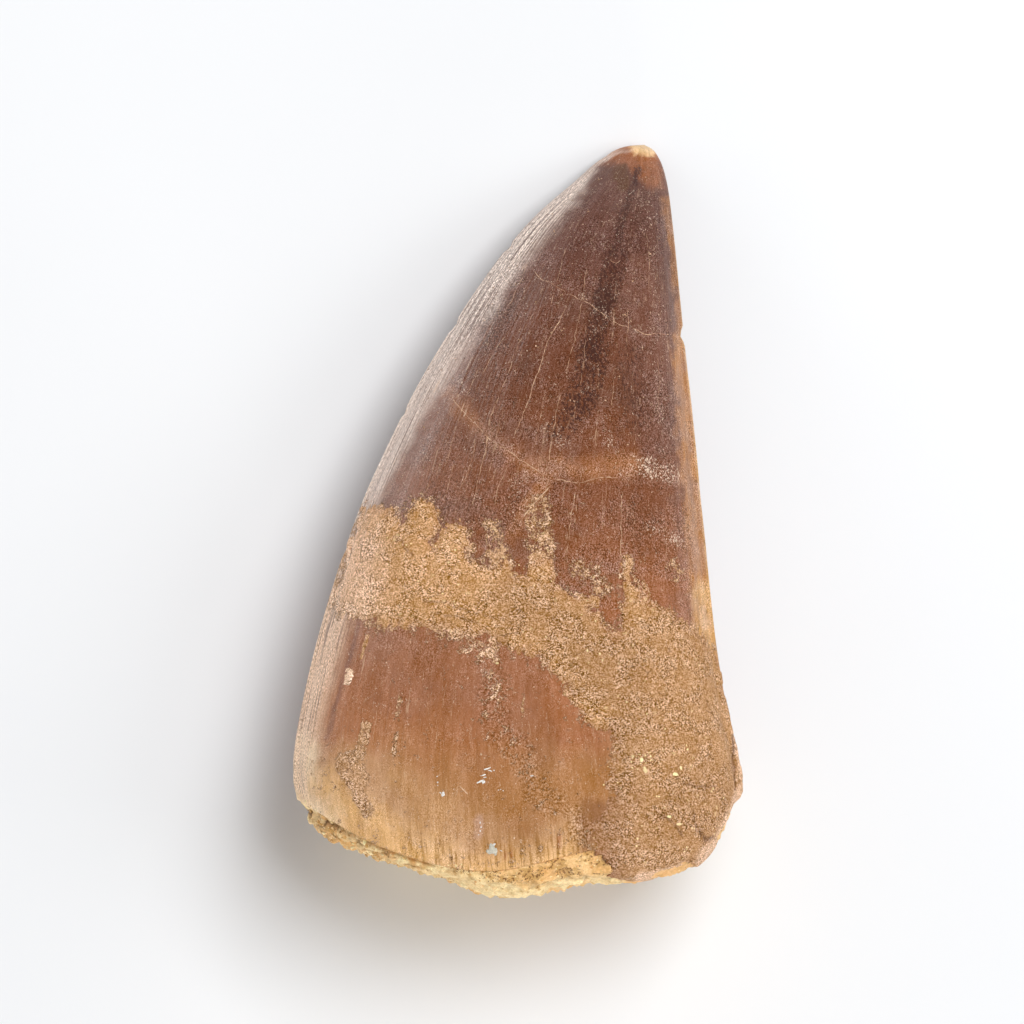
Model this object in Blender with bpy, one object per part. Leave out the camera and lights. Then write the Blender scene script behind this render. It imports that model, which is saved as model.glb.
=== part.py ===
"""A fossil mosasaur tooth lying on its back, with a crust of hardened sand on its face.

The tooth lies along +Y with its tip towards +Y, +Z is up and z = 0 is the surface it rests on.
All lengths are in metres.
"""

import math

import bmesh
import bpy
import numpy as np
from mathutils import Vector, noise

# Outline seen from above: the crown's left and right edge at each station, from the enamel's rim to the tip.
LEFT_EDGE = (
    (-0.01750, -0.02220),
    (-0.01780, -0.01980),
    (-0.01735, -0.01610),
    (-0.01615, -0.01075),
    (-0.01450, -0.00500),
    (-0.01250, 0.00080),
    (-0.00985, 0.00685),
    (-0.00675, 0.01275),
    (-0.00310, 0.01860),
    (0.00075, 0.02355),
    (0.00450, 0.02700),
    (0.00705, 0.02905),
)
RIGHT_EDGE = (
    (0.01790, -0.02100),
    (0.01765, -0.01935),
    (0.01670, -0.01530),
    (0.01580, -0.00995),
    (0.01520, -0.00440),
    (0.01465, 0.00120),
    (0.01410, 0.00715),
    (0.01350, 0.01300),
    (0.01290, 0.01870),
    (0.01242, 0.02370),
    (0.01200, 0.02690),
    (0.01130, 0.02900),
)
TIP = (0.01015, 0.03000)

# Shape across the crown: how far the face rises and the back drops, as shares of the width.
FACE_BULGE = 0.30
BACK_BULGE = 0.35
FACE_FULLNESS = 0.80
BACK_FULLNESS = 0.90
BACK_LEAN = 0.14
BACK_DEEPEST = 1.015
TIP_THICKNESS = 0.0040

# How the crown lies: its back arches clear of the surface between the lower rim and the tip.
ARCH = 0.0012
REST_BITE = 0.00032
TIP_BITE = 0.00062
TIP_REST = 0.90

# Cutting ridge along each side: how far it stands out, and how far up the face its foot reaches.
RIDGE_HEIGHT = 0.00050
RIDGE_FOOT = 0.00090
RIDGE_MOST_OF_WIDTH = 0.08

# Lower rim of the enamel: how far it dips below the line between its corners, against the share across.
FACE_RIM_DIP = ((0.0, 0.0), (0.19, 0.0039), (0.41, 0.0060), (0.66, 0.0047), (0.88, 0.0036), (1.0, 0.0))
BACK_RIM_DIP = ((0.0, 0.0), (0.25, 0.0013), (0.50, 0.0020), (0.75, 0.0013), (1.0, 0.0))
RIM_FADE_STATIONS = 5.0

# Broken root bone: the enamel ends in a ledge, and the bone in a rounded lumpy end with a hollow.
ENAMEL_STEP = 0.00055
ROOT_DEPTH = (
    (0.0, 0.0024),
    (0.05, 0.0037),
    (0.13, 0.0044),
    (0.32, 0.0063),
    (0.48, 0.0083),
    (0.60, 0.0075),
    (0.80, 0.0074),
    (0.92, 0.0071),
    (1.0, 0.0048),
)
ROOT_BACK_SHORTER = 0.0034
ROOT_FACE_LONGER = 0.0002
ROOT_ROUNDING = 6.0
ROOT_LUMP = 0.00055
ROOT_LUMP_SCALE = 360.0
CAVITY_DEPTH = 0.0022
CAVITY_REACH = 0.55

# Mesh fineness. The segments are closer together beside the cutting ridges.
SEGMENTS = 72
SEGMENT_CROWDING = 0.45
CROWN_RINGS = 35
ROOT_RINGS = 10
RING_CROWDING = 1.3
SMOOTH_UP_TO = math.radians(35)

# Unevenness of the crown as a whole, and the seed of all the unevenness.
CROWN_WAVE = 0.00012
CROWN_WAVE_SCALE = 140.0
SEED = 5

# Crust of hardened sand, seen from above.
CRUST_OUTLINE = (
    (-0.0200, 0.0012),
    (-0.0118, 0.0012),
    (-0.0098, 0.0009),
    (-0.0076, 0.0020),
    (-0.0063, 0.0005),
    (-0.0052, -0.0008),
    (-0.0040, -0.0004),
    (-0.0034, -0.0032),
    (-0.0012, -0.0036),
    (0.0004, -0.0042),
    (0.0012, -0.0008),
    (0.0028, -0.0006),
    (0.0032, -0.0054),
    (0.0064, -0.0062),
    (0.0078, -0.0088),
    (0.0083, -0.0036),
    (0.0092, -0.0036),
    (0.0104, -0.0066),
    (0.0126, -0.0078),
    (0.0150, -0.0098),
    (0.0200, -0.0106),
    (0.0205, -0.0340),
    (0.0076, -0.0340),
    (0.0072, -0.0274),
    (0.0047, -0.0258),
    (0.0042, -0.0228),
    (0.0074, -0.0226),
    (0.0075, -0.0170),
    (0.0058, -0.0166),
    (0.0042, -0.0142),
    (0.0020, -0.0110),
    (-0.0018, -0.0106),
    (-0.0042, -0.0096),
    (-0.0090, -0.0086),
    (-0.0124, -0.0082),
    (-0.0134, -0.0068),
    (-0.0200, -0.0064),
)
CRUST_LOWEST = 0.0110
CRUST_HIGHEST = 0.0400
CRUST_PROUD = 0.00035
CRUST_PROUD_AT_SIDES = 0.00010
CRUST_SUNK = 0.00040
CRUST_GAP = 0.00030
CRUST_LUMP = 0.00012
CRUST_LUMP_SCALE = 700.0
SHARPEST_MITRE = 0.6

ENAMEL_COLOUR = (0.235, 0.115, 0.070, 1.0)
SAND_COLOUR = (0.500, 0.310, 0.160, 1.0)


def smooth_curve(points, share):
    """Catmull-Rom curve through the points at each share of the way, 0 at the first and 1 at the last."""
    points = np.asarray(points, float)
    ends = np.vstack((2 * points[0] - points[1], points, 2 * points[-1] - points[-2]))
    at = np.clip(np.asarray(share, float), 0.0, 1.0) * (len(points) - 1)
    span = np.minimum(at.astype(int), len(points) - 2)
    f = (at - span)[..., None]
    a, b, c, d = (ends[span + k] for k in range(4))
    return 0.5 * (2 * b + (c - a) * f + (2 * a - 5 * b + 4 * c - d) * f**2 + (3 * b - a - 3 * c + d) * f**3)


def profile(points, at):
    """Value read off a short list of (position, value) pairs, eased between them."""
    places, values = np.asarray(points, float).T
    span = np.clip(np.searchsorted(places, at, side="right") - 1, 0, len(places) - 2)
    f = np.clip((at - places[span]) / (places[span + 1] - places[span]), 0.0, 1.0)
    slopes = np.gradient(values, places)
    width = places[span + 1] - places[span]
    start = (2 * f**3 - 3 * f**2 + 1) * values[span] + (f**3 - 2 * f**2 + f) * width * slopes[span]
    end = (3 * f**2 - 2 * f**3) * values[span + 1] + (f**3 - f**2) * width * slopes[span + 1]
    return start + end


def middle_height(share, width):
    """Height of the cutting ridges above the surface that the crown lies on.

    The arch is highest, at ARCH, two thirds of the way to the tip's resting point.
    """
    at = np.minimum(share / TIP_REST, 1.0)
    arch = ARCH * 27 / 4 * at**2 * (1 - at)
    clear = arch - REST_BITE - (TIP_BITE - REST_BITE) * at
    return clear + BACK_BULGE * BACK_DEEPEST * np.hypot(width, TIP_THICKNESS)


def crown_points(share, angle):
    """Points of the crown. Share runs from the rim to the tip, angle from the left edge over the face."""
    left = smooth_curve(LEFT_EDGE + (TIP,), share)
    right = smooth_curve(RIGHT_EDGE + (TIP,), share)
    width = np.linalg.norm(right - left, axis=-1)
    across = -np.cos(angle)
    lift = np.sin(angle)
    face = lift >= 0

    rise = FACE_BULGE * width * np.abs(lift) ** FACE_FULLNESS
    drop = BACK_BULGE * width * np.abs(lift) ** BACK_FULLNESS * (1 - BACK_LEAN * across)
    height = np.where(face, rise, -drop)

    ridge = np.minimum(RIDGE_HEIGHT, RIDGE_MOST_OF_WIDTH * width)
    inset = ridge * (1 - np.exp(-((height / RIDGE_FOOT) ** 2)))
    place = 0.5 + 0.5 * across * (1 - 2 * inset / np.maximum(width, 1e-9))
    flat = left + (right - left) * place[..., None]

    fade = np.clip(1 - share * len(LEFT_EDGE) / RIM_FADE_STATIONS, 0.0, 1.0) ** 2
    dip = np.where(face, profile(FACE_RIM_DIP, place), profile(BACK_RIM_DIP, place))
    y = flat[..., 1] - dip * fade
    return np.stack((flat[..., 0], y, middle_height(share, width) + height), axis=-1)


def root_points(depth, angle, step):
    """Points of the broken root: depth runs from the enamel's rim to the middle of the broken end."""
    rim = crown_points(np.zeros_like(angle), angle)
    left, right = np.asarray(LEFT_EDGE[0]), np.asarray(RIGHT_EDGE[0])
    width = right[0] - left[0]
    core = Vector(((left[0] + right[0]) / 2, 0.0, middle_height(0.0, width)))
    reach = np.hypot(rim[..., 0] - core.x, rim[..., 2] - core.z)
    near = (1 - depth) * (1 - step / reach)
    x = core.x + (rim[..., 0] - core.x) * near
    z = core.z + (rim[..., 2] - core.z) * near

    across = np.clip((x - left[0]) / width, 0.0, 1.0)
    chord = left[1] + (right[1] - left[1]) * across
    below = np.clip((core.z - z) / core.z, -1.0, 1.0)
    shorter = np.where(below > 0, ROOT_BACK_SHORTER, ROOT_FACE_LONGER) * below
    end = chord - profile(ROOT_DEPTH, across) + shorter
    hollow = CAVITY_DEPTH * np.clip(1 - (1 - depth) / CAVITY_REACH, 0.0, 1.0) ** 2
    rounding = (1 - (1 - depth) ** ROOT_ROUNDING) ** 0.5
    y = rim[..., 1] + (end - rim[..., 1]) * rounding + hollow
    return np.stack((x, y, z), axis=-1)


def tooth_points(step):
    """One row of points for each ring, from the middle of the broken root to the tip."""
    turn = np.linspace(0.0, 2 * np.pi, SEGMENTS + 1)
    angle = turn - SEGMENT_CROWDING * np.sin(2 * turn) / 2
    depths = np.linspace(1.0, 0.0, ROOT_RINGS) ** RING_CROWDING
    shares = 1 - np.linspace(1.0, 0.0, CROWN_RINGS) ** RING_CROWDING
    root = [root_points(np.full_like(angle, depth), angle, step) for depth in depths]
    crown = [crown_points(np.full_like(angle, share), angle) for share in shares]
    return np.array(root + crown)


def roughen(point, on_bone):
    """Moves a point by the bone's lumps on the broken end, or by the crown's slight waviness elsewhere."""
    if on_bone:
        return point + noise.noise_vector(point * ROOT_LUMP_SCALE) * ROOT_LUMP
    return point + noise.noise_vector(point * CROWN_WAVE_SCALE) * CROWN_WAVE


def tooth_mesh(step):
    """The whole tooth as one closed mesh on z = 0, with the bone set in from the enamel by a step."""
    rows = tooth_points(step)
    bm = bmesh.new()
    bmesh.ops.create_grid(bm, x_segments=SEGMENTS, y_segments=len(rows) - 1, size=1.0)
    bm.verts.ensure_lookup_table()
    for index, vert in enumerate(bm.verts):
        ring, segment = divmod(index, SEGMENTS + 1)
        point = roughen(Vector(rows[ring, segment % SEGMENTS]), ring < ROOT_RINGS - 1)
        point.z = max(point.z, 0.0)
        vert.co = point
    bmesh.ops.remove_doubles(bm, verts=bm.verts, dist=1e-6)
    bmesh.ops.dissolve_degenerate(bm, edges=bm.edges, dist=1e-6)
    bmesh.ops.recalc_face_normals(bm, faces=bm.faces)
    return bm


def grown(bm, by):
    """A copy of a closed mesh whose surface is moved outwards, by a distance found from each vertex."""
    copy = bm.copy()
    copy.normal_update()
    moves = [vert.normal * by(vert) for vert in copy.verts]
    for vert, move in zip(copy.verts, moves):
        vert.co += move
    return copy


def crust_thickness(vert):
    """The crust stands proud of the face, thins down at the sides and is lumpy all over."""
    facing_up = max(vert.normal.z, 0.0)
    proud = CRUST_PROUD_AT_SIDES + (CRUST_PROUD - CRUST_PROUD_AT_SIDES) * facing_up
    return proud + CRUST_LUMP * facing_up * noise.noise(vert.co * CRUST_LUMP_SCALE)


def prism(outline, grow):
    """An upright block over the crust's outline, grown sideways by a distance."""
    bm = bmesh.new()
    points = [Vector(p) for p in outline]
    rim = []
    for k, point in enumerate(points):
        before = (point - points[k - 1]).normalized()
        after = (points[(k + 1) % len(points)] - point).normalized()
        aside = Vector((-(before.y + after.y), before.x + after.x))
        aside = aside.normalized() / max(aside.length / 2, SHARPEST_MITRE)
        rim.append(bm.verts.new((point + aside * grow).to_3d()))
    face = bm.faces.new(rim)
    bmesh.ops.translate(bm, verts=bm.verts, vec=(0, 0, CRUST_LOWEST - grow))
    extruded = bmesh.ops.extrude_face_region(bm, geom=[face])["geom"]
    top = [item for item in extruded if isinstance(item, bmesh.types.BMVert)]
    bmesh.ops.translate(bm, verts=top, vec=(0, 0, CRUST_HIGHEST - CRUST_LOWEST + 2 * grow))
    bmesh.ops.recalc_face_normals(bm, faces=bm.faces)
    return bm


def material(name, colour, roughness):
    """A plain finish of one colour."""
    made = bpy.data.materials.new(name)
    made.use_nodes = True
    shader = made.node_tree.nodes["Principled BSDF"]
    shader.inputs["Base Color"].default_value = colour
    shader.inputs["Roughness"].default_value = roughness
    shader.inputs["Metallic"].default_value = 0.0
    return made


def add_object(name, bm, finish=None):
    """Links a mesh as an object. One without a finish is a cutter, which is left out of renders."""
    mesh = bpy.data.meshes.new(name)
    bm.to_mesh(mesh)
    bm.free()
    made = bpy.data.objects.new(name, mesh)
    bpy.context.scene.collection.objects.link(made)
    if finish is None:
        made.hide_render = True
        made.display_type = "WIRE"
    else:
        mesh.materials.append(finish)
        mesh.shade_smooth()
        mesh.set_sharp_from_angle(angle=SMOOTH_UP_TO)
    return made


def boolean(target, operation, other):
    """Cuts one object with another, or keeps what they share."""
    modifier = target.modifiers.new(f"{operation} {other.name}", "BOOLEAN")
    modifier.operation = operation
    modifier.object = other
    modifier.use_self = True


def main():
    """Models the tooth, then cuts the crust's pocket in it and the crust to fit that pocket."""
    for old in list(bpy.data.objects):
        bpy.data.objects.remove(old)
    noise.seed_set(SEED)

    whole = tooth_mesh(ENAMEL_STEP)
    pocket_floor = add_object("pocket_floor", grown(whole, lambda vert: -CRUST_SUNK - CRUST_GAP))
    crust_floor = add_object("crust_floor", grown(whole, lambda vert: -CRUST_SUNK))
    crust_top = grown(tooth_mesh(0.0), crust_thickness)
    crust = add_object("matrix_crust", crust_top, material("hard_sand", SAND_COLOUR, 0.9))
    tooth = add_object("tooth", whole, material("enamel", ENAMEL_COLOUR, 0.35))

    crust_block = add_object("crust_block", prism(CRUST_OUTLINE, 0.0))
    pocket = add_object("pocket", prism(CRUST_OUTLINE, CRUST_GAP))

    boolean(pocket, "DIFFERENCE", pocket_floor)
    boolean(tooth, "DIFFERENCE", pocket)
    boolean(crust, "INTERSECT", crust_block)
    boolean(crust, "DIFFERENCE", crust_floor)


main()
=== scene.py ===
"""A fossil mosasaur tooth lying on its back: striated enamel crown, broken root bone, crust of sand.

The tooth lies along +Y with its tip towards +Y, +Z is up and z = 0 is the surface it rests on. The form
is held in metres. Marks on the face are held in millimetres, on the plan seen from above.
"""

import logging
import math
from collections.abc import Iterator
from dataclasses import dataclass
from enum import Enum

import bmesh
import bpy
import numpy as np
from mathutils import Matrix, Vector
from mathutils.bvhtree import BVHTree


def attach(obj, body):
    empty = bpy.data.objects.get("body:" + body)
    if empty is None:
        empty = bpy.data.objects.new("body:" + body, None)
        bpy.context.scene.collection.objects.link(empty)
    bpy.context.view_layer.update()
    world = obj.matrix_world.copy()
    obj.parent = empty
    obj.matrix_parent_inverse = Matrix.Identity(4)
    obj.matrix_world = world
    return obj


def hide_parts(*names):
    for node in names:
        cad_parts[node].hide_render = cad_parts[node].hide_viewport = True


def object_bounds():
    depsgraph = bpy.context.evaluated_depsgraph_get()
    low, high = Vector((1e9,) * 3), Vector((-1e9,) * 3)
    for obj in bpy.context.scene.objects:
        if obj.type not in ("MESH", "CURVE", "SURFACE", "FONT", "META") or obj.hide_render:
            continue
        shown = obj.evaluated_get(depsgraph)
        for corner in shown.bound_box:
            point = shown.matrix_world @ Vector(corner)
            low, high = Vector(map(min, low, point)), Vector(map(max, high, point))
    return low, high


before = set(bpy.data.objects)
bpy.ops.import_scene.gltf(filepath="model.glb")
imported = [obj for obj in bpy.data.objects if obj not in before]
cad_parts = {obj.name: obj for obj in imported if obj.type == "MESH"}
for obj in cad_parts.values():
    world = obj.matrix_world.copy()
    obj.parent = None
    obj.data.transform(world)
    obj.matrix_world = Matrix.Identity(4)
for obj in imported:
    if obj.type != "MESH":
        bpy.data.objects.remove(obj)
cad_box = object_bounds()

LOG = logging.getLogger("fossil_tooth")
MM = 0.001
Array = np.ndarray
Piece = bpy.types.Object
Socket = bpy.types.NodeSocket
Triple = tuple[float, float, float]
Path = tuple[tuple[float, float], ...]
# A ramp goes softly from 0 to 1 between its first two values, or from its third value to its fourth.
Ramp = tuple[float, ...]
# Nearly all of a cloudy noise lies between these.
NOISE_BAND = (0.36, 0.64)


class Shade(Enum):
    """Colours of the fossil, as red, green and blue from 0 to 255."""

    TIP_CREAM = (250, 206, 148)
    TIP_ORANGE = (182, 112, 64)
    TIP_OLIVE = (96, 66, 46)
    CROWN_BROWN = (106, 72, 62)
    CROWN_MAUVE = (122, 85, 72)
    STREAK_RED = (64, 33, 24)
    MIDDLE_BROWN = (120, 78, 60)
    BAND_TAN = (164, 112, 78)
    UNDER_BROWN = (132, 85, 62)
    GRIME_BROWN = (150, 106, 76)
    FLANK_RED = (168, 110, 75)
    FLANK_PURPLE = (154, 105, 78)
    LOWER_TAN = (196, 150, 106)
    RIM_CREAM = (228, 180, 124)
    EDGE_ORANGE = (188, 126, 60)
    EDGE_CREAM = (226, 173, 100)
    # Painted highlight on the lower left flank, in cream; also the cream of the sand patches there.
    FLANK_CREAM_SHEEN = (240, 202, 170)
    # Palest painted highlight, at the left flank's lower corner and on the left cutting ridge.
    HIGHLIGHT_CREAM = (255, 224, 182)
    LOW_TAN = (178, 131, 89)
    TIP_RUST = (150, 90, 56)
    WINDOW_TAN = (172, 122, 80)
    SCUFF_PINK = (196, 156, 134)
    BACK_BROWN = (118, 80, 64)
    # Painted highlight on the left flank, silvery where the enamel is polished.
    FLANK_HIGHLIGHT = (244, 223, 208)
    # Painted glints: pale dots and curls that stand for sparkles of light on the enamel.
    GLINT = (240, 214, 190)
    BLOOM = (150, 118, 106)
    DUST = (200, 155, 114)
    VEIN_TAN = (162, 114, 84)
    VEIN_PALE = (218, 182, 150)
    CHALK = (236, 232, 226)
    SAND_YELLOW = (196, 148, 99)
    SAND_PINK = (228, 186, 152)
    SAND_RED = (175, 131, 89)
    # Painted shade in the pits and cracks of the sand.
    HOLLOW_SHADE = (104, 68, 44)
    # Darker brown laid in the grooves between the lines of the flank's painted highlight.
    HIGHLIGHT_GROOVE = (104, 74, 64)
    CHALK_GREY = (206, 200, 184)
    BONE_CREAM = (255, 229, 174)
    BONE_ORANGE = (236, 184, 122)
    BONE_HONEY = (224, 166, 94)
    BONE_OLIVE = (200, 156, 94)
    BONE_KHAKI = (238, 202, 148)
    # Dark brown specks, and painted shade in the crevices between the bone's chunks.
    BONE_DARK = (112, 72, 36)


def linear(shade: Shade) -> Array:
    """The shade as linear red, green, blue and alpha."""
    value = np.array(shade.value) / 255
    value = np.where(value <= 0.04045, value / 12.92, ((value + 0.055) / 1.055) ** 2.4)
    return np.append(value, 1.0)


def smoothstep(value: Array, low: float, high: float) -> Array:
    """0 below low, 1 above high and a soft step between them."""
    at = np.clip((value - low) / (high - low), 0.0, 1.0)
    return at * at * (3 - 2 * at)


def smooth_curve(points: Path, share: Array) -> Array:
    """Points of a smooth curve through evenly counted points.

    Args:
        points: the points that the curve goes through.
        share: how far along, from 0 to 1.

    Returns:
        One point for each share.
    """
    points = np.asarray(points, float)
    ends = np.vstack((2 * points[0] - points[1], points, 2 * points[-1] - points[-2]))
    at = np.clip(np.asarray(share, float), 0.0, 1.0) * (len(points) - 1)
    span = np.minimum(at.astype(int), len(points) - 2)
    f = (at - span)[..., None]
    a, b, c, d = (ends[span + k] for k in range(4))
    return 0.5 * (2 * b + (c - a) * f + (2 * a - 5 * b + 4 * c - d) * f**2 + (3 * b - a - 3 * c + d) * f**3)


def profile(points: Path, at: Array) -> Array:
    """Value of a smooth profile.

    Args:
        points: pairs of place and value, in order of place.
        at: the places to read.

    Returns:
        The value at each place.
    """
    places, values = np.asarray(points, float).T
    slopes = np.gradient(values, places)
    at = np.clip(np.asarray(at, float), places[0], places[-1])
    span = np.clip(np.searchsorted(places, at) - 1, 0, len(places) - 2)
    run = places[span + 1] - places[span]
    f = (at - places[span]) / run
    start, end = values[span], values[span + 1]
    pull = f * (1 - f) * ((1 - f) * (slopes[span] * run) - f * (slopes[span + 1] * run))
    return start + (end - start) * f * f * (3 - 2 * f) + pull


def distance_to(points: Array, path: Path) -> Array:
    """Distance on the plan from each point to a broken line."""
    best = np.full(points.shape[:-1], np.inf)
    path = np.asarray(path, float)
    for start, end in zip(path[:-1], path[1:]):
        run = end - start
        share = np.clip(((points - start) @ run) / (run @ run), 0.0, 1.0)
        best = np.minimum(best, np.linalg.norm(points - start - share[..., None] * run, axis=-1))
    return best


def depth_inside(points: Array, outline: Path) -> Array:
    """Distance on the plan to a closed outline, positive inside it."""
    ring = np.asarray(outline + outline[:1], float)
    odd = np.zeros(points.shape[:-1], bool)
    x, y = points[..., 0], points[..., 1]
    for start, end in zip(ring[:-1], ring[1:]):
        if start[1] == end[1]:
            continue
        crossing = start[0] + (y - start[1]) * (end[0] - start[0]) / (end[1] - start[1])
        odd ^= ((start[1] > y) != (end[1] > y)) & (x < crossing)
    return distance_to(points, ring) * np.where(odd, 1.0, -1.0)


class StoneNoise:
    """Smooth noise and cell noise on arrays of points, the same on every run."""

    def __init__(self, seed: int) -> None:
        """Shuffles the tables that the noise is read from."""
        dice = np.random.default_rng(seed)
        self.order = dice.permutation(256)
        leans = dice.normal(size=(256, 3))
        self.leans = leans / np.linalg.norm(leans, axis=1, keepdims=True)
        self.spots = dice.random((256, 3))

    def _cell(self, corner: Array) -> Array:
        """A number from 0 to 255 for each whole-number corner."""
        x, y, z = np.moveaxis(corner & 255, -1, 0)
        return self.order[(self.order[(self.order[x] + y) & 255] + z) & 255]

    def smooth(self, points: Array) -> Array:
        """Gradient noise at the points, from about -1 to 1."""
        base = np.floor(points).astype(int)
        part = points - base
        fade = part**3 * (part * (part * 6 - 15) + 10)
        total = np.zeros(points.shape[:-1])
        for corner in np.ndindex(2, 2, 2):
            corner = np.array(corner)
            lean = self.leans[self._cell(base + corner)]
            reach = ((part - corner) * lean).sum(-1)
            total += reach * np.where(corner, fade, 1 - fade).prod(-1)
        return total * 1.6

    def layered(self, points: Array, layers: int, gain: float = 0.5) -> Array:
        """Several layers of smooth noise, each twice as fine as the one before and weaker by gain."""
        total, strength = 0.0, 1.0
        for layer in range(layers):
            total = total + strength * self.smooth(points * 2**layer + 17.3 * layer)
            strength *= gain
        return total

    def grains(self, points: Array) -> tuple[Array, Array]:
        """Cell noise.

        Args:
            points: where to read it.

        Returns:
            The distance to the nearest grain's middle, and that grain's own number from 0 to 1.
        """
        base = np.floor(points).astype(int)
        nearest = np.full(points.shape[:-1], np.inf)
        own = np.zeros(points.shape[:-1])
        for step in np.ndindex(3, 3, 3):
            cell = base + np.array(step) - 1
            number = self._cell(cell)
            gap = np.linalg.norm(cell + self.spots[number] - points, axis=-1)
            own = np.where(gap < nearest, self.spots[(number + 7) & 255, 0], own)
            nearest = np.minimum(nearest, gap)
        return nearest, own


@dataclass(frozen=True)
class ToothForm:
    """The tooth's smooth form, in metres: two edges seen from above and rounded sections between them."""

    left_edge: Path = (
        (-0.0175, -0.0222), (-0.0178, -0.0198), (-0.01735, -0.0161), (-0.01615, -0.01075),
        (-0.0145, -0.005), (-0.0125, 0.0008), (-0.00985, 0.00685), (-0.00675, 0.01275), (-0.0031, 0.0186),
        (0.00075, 0.02355), (0.0045, 0.027), (0.00705, 0.02905),
    )
    right_edge: Path = (
        (0.0179, -0.021), (0.01765, -0.01935), (0.0167, -0.0153), (0.0158, -0.00995), (0.0152, -0.0044),
        (0.01465, 0.0012), (0.0141, 0.00715), (0.0135, 0.013), (0.0129, 0.0187), (0.01242, 0.0237),
        (0.012, 0.0269), (0.0113, 0.029),
    )
    tip: tuple[float, float] = (0.01015, 0.03)
    face_bulge: float = 0.3
    back_bulge: float = 0.35
    face_fullness: float = 0.8
    back_fullness: float = 0.9
    back_lean: float = 0.14
    back_deepest: float = 1.015
    tip_thickness: float = 0.004
    arch: float = 0.0012
    rest_bite: float = 0.00032
    tip_bite: float = 0.00062
    tip_rest: float = 0.9
    ridge_height: float = 0.0005
    ridge_foot: float = 0.0009
    ridge_most_of_width: float = 0.08
    face_rim_dip: Path = (
        (0, 0), (0.19, 0.0039), (0.41, 0.006), (0.66, 0.0047), (0.88, 0.0036), (1, 0),
    )
    back_rim_dip: Path = ((0, 0), (0.25, 0.0013), (0.5, 0.002), (0.75, 0.0013), (1, 0))
    rim_fade_stations: float = 5.0
    root_depth: Path = (
        (0, 0.0024), (0.05, 0.0037), (0.13, 0.0044), (0.32, 0.0063), (0.48, 0.0083), (0.6, 0.0075),
        (0.8, 0.0074), (0.92, 0.0071), (1, 0.0048),
    )
    root_back_shorter: float = 0.0034
    root_face_longer: float = 0.0002
    root_rounding: float = 6.0
    cavity_depth: float = 0.0022
    cavity_reach: float = 0.55
    tip_shoulder: float = 0.00024

    def middle_height(self, share: Array, width: Array) -> Array:
        """Height of the cutting ridges at a station of the crown."""
        at = np.minimum(share / self.tip_rest, 1.0)
        arch = self.arch * 27 / 4 * at**2 * (1 - at)
        clear = arch - self.rest_bite - (self.tip_bite - self.rest_bite) * at
        return clear + self.back_bulge * self.back_deepest * np.hypot(width, self.tip_thickness)

    def crown(self, share: Array, angle: Array) -> Array:
        """Points of the crown.

        Args:
            share: 0 at the enamel's rim, 1 at the tip.
            angle: turn round the section, 0 at the left edge and a quarter turn on the face.

        Returns:
            The points.
        """
        left = smooth_curve(self.left_edge + (self.tip,), share)
        right = smooth_curve(self.right_edge + (self.tip,), share)
        width = np.linalg.norm(right - left, axis=-1)
        across, lift = -np.cos(angle), np.sin(angle)
        on_face = lift >= 0
        rise = self.face_bulge * width * np.abs(lift) ** self.face_fullness
        drop = self.back_bulge * width * np.abs(lift) ** self.back_fullness * (1 - self.back_lean * across)
        height = np.where(on_face, rise, -drop)
        ridge = np.minimum(self.ridge_height, self.ridge_most_of_width * width)
        inset = ridge * (1 - np.exp(-((height / self.ridge_foot) ** 2)))
        place = 0.5 + 0.5 * across * (1 - 2 * inset / np.maximum(width, 1e-9))
        flat = left + (right - left) * place[..., None]
        fade = np.clip(1 - share * len(self.left_edge) / self.rim_fade_stations, 0.0, 1.0) ** 2
        dip = np.where(on_face, profile(self.face_rim_dip, place), profile(self.back_rim_dip, place))
        near_tip = np.clip(share * 12 - 11, 0.0, 1.0)
        shoulder = self.tip_shoulder * np.sin(math.pi * near_tip) * (0.75 - 0.25 * across)
        y = flat[..., 1] - dip * fade + shoulder
        return np.stack((flat[..., 0], y, self.middle_height(share, width) + height), axis=-1)

    def core(self) -> Array:
        """The middle of the crown's lower end."""
        width = self.right_edge[0][0] - self.left_edge[0][0]
        middle = (self.left_edge[0][0] + self.right_edge[0][0]) / 2
        return np.array((middle, 0.0, float(self.middle_height(0.0, width))))

    def root(self, depth: Array, angle: Array, step: float) -> Array:
        """Points of the broken root.

        Args:
            depth: 0 at the enamel's rim, 1 at the middle of the broken end.
            angle: turn round the section, as on the crown.
            step: how far the bone lies inside the enamel's outside.

        Returns:
            The points.
        """
        rim = self.crown(np.zeros_like(angle), angle)
        left, right, core = self.left_edge[0], self.right_edge[0], self.core()
        reach = np.hypot(rim[..., 0] - core[0], rim[..., 2] - core[2])
        near = (1 - depth) * (1 - step / reach)
        x = core[0] + (rim[..., 0] - core[0]) * near
        z = core[2] + (rim[..., 2] - core[2]) * near
        across = np.clip((x - left[0]) / (right[0] - left[0]), 0.0, 1.0)
        chord = left[1] + (right[1] - left[1]) * across
        below = np.clip((core[2] - z) / core[2], -1.0, 1.0)
        shorter = np.where(below > 0, self.root_back_shorter, self.root_face_longer) * below
        end = chord - profile(self.root_depth, across) + shorter
        hollow = self.cavity_depth * np.clip(1 - (1 - depth) / self.cavity_reach, 0.0, 1.0) ** 2
        rounding = (1 - (1 - depth) ** self.root_rounding) ** 0.5
        return np.stack((x, rim[..., 1] + (end - rim[..., 1]) * rounding + hollow, z), axis=-1)


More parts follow.
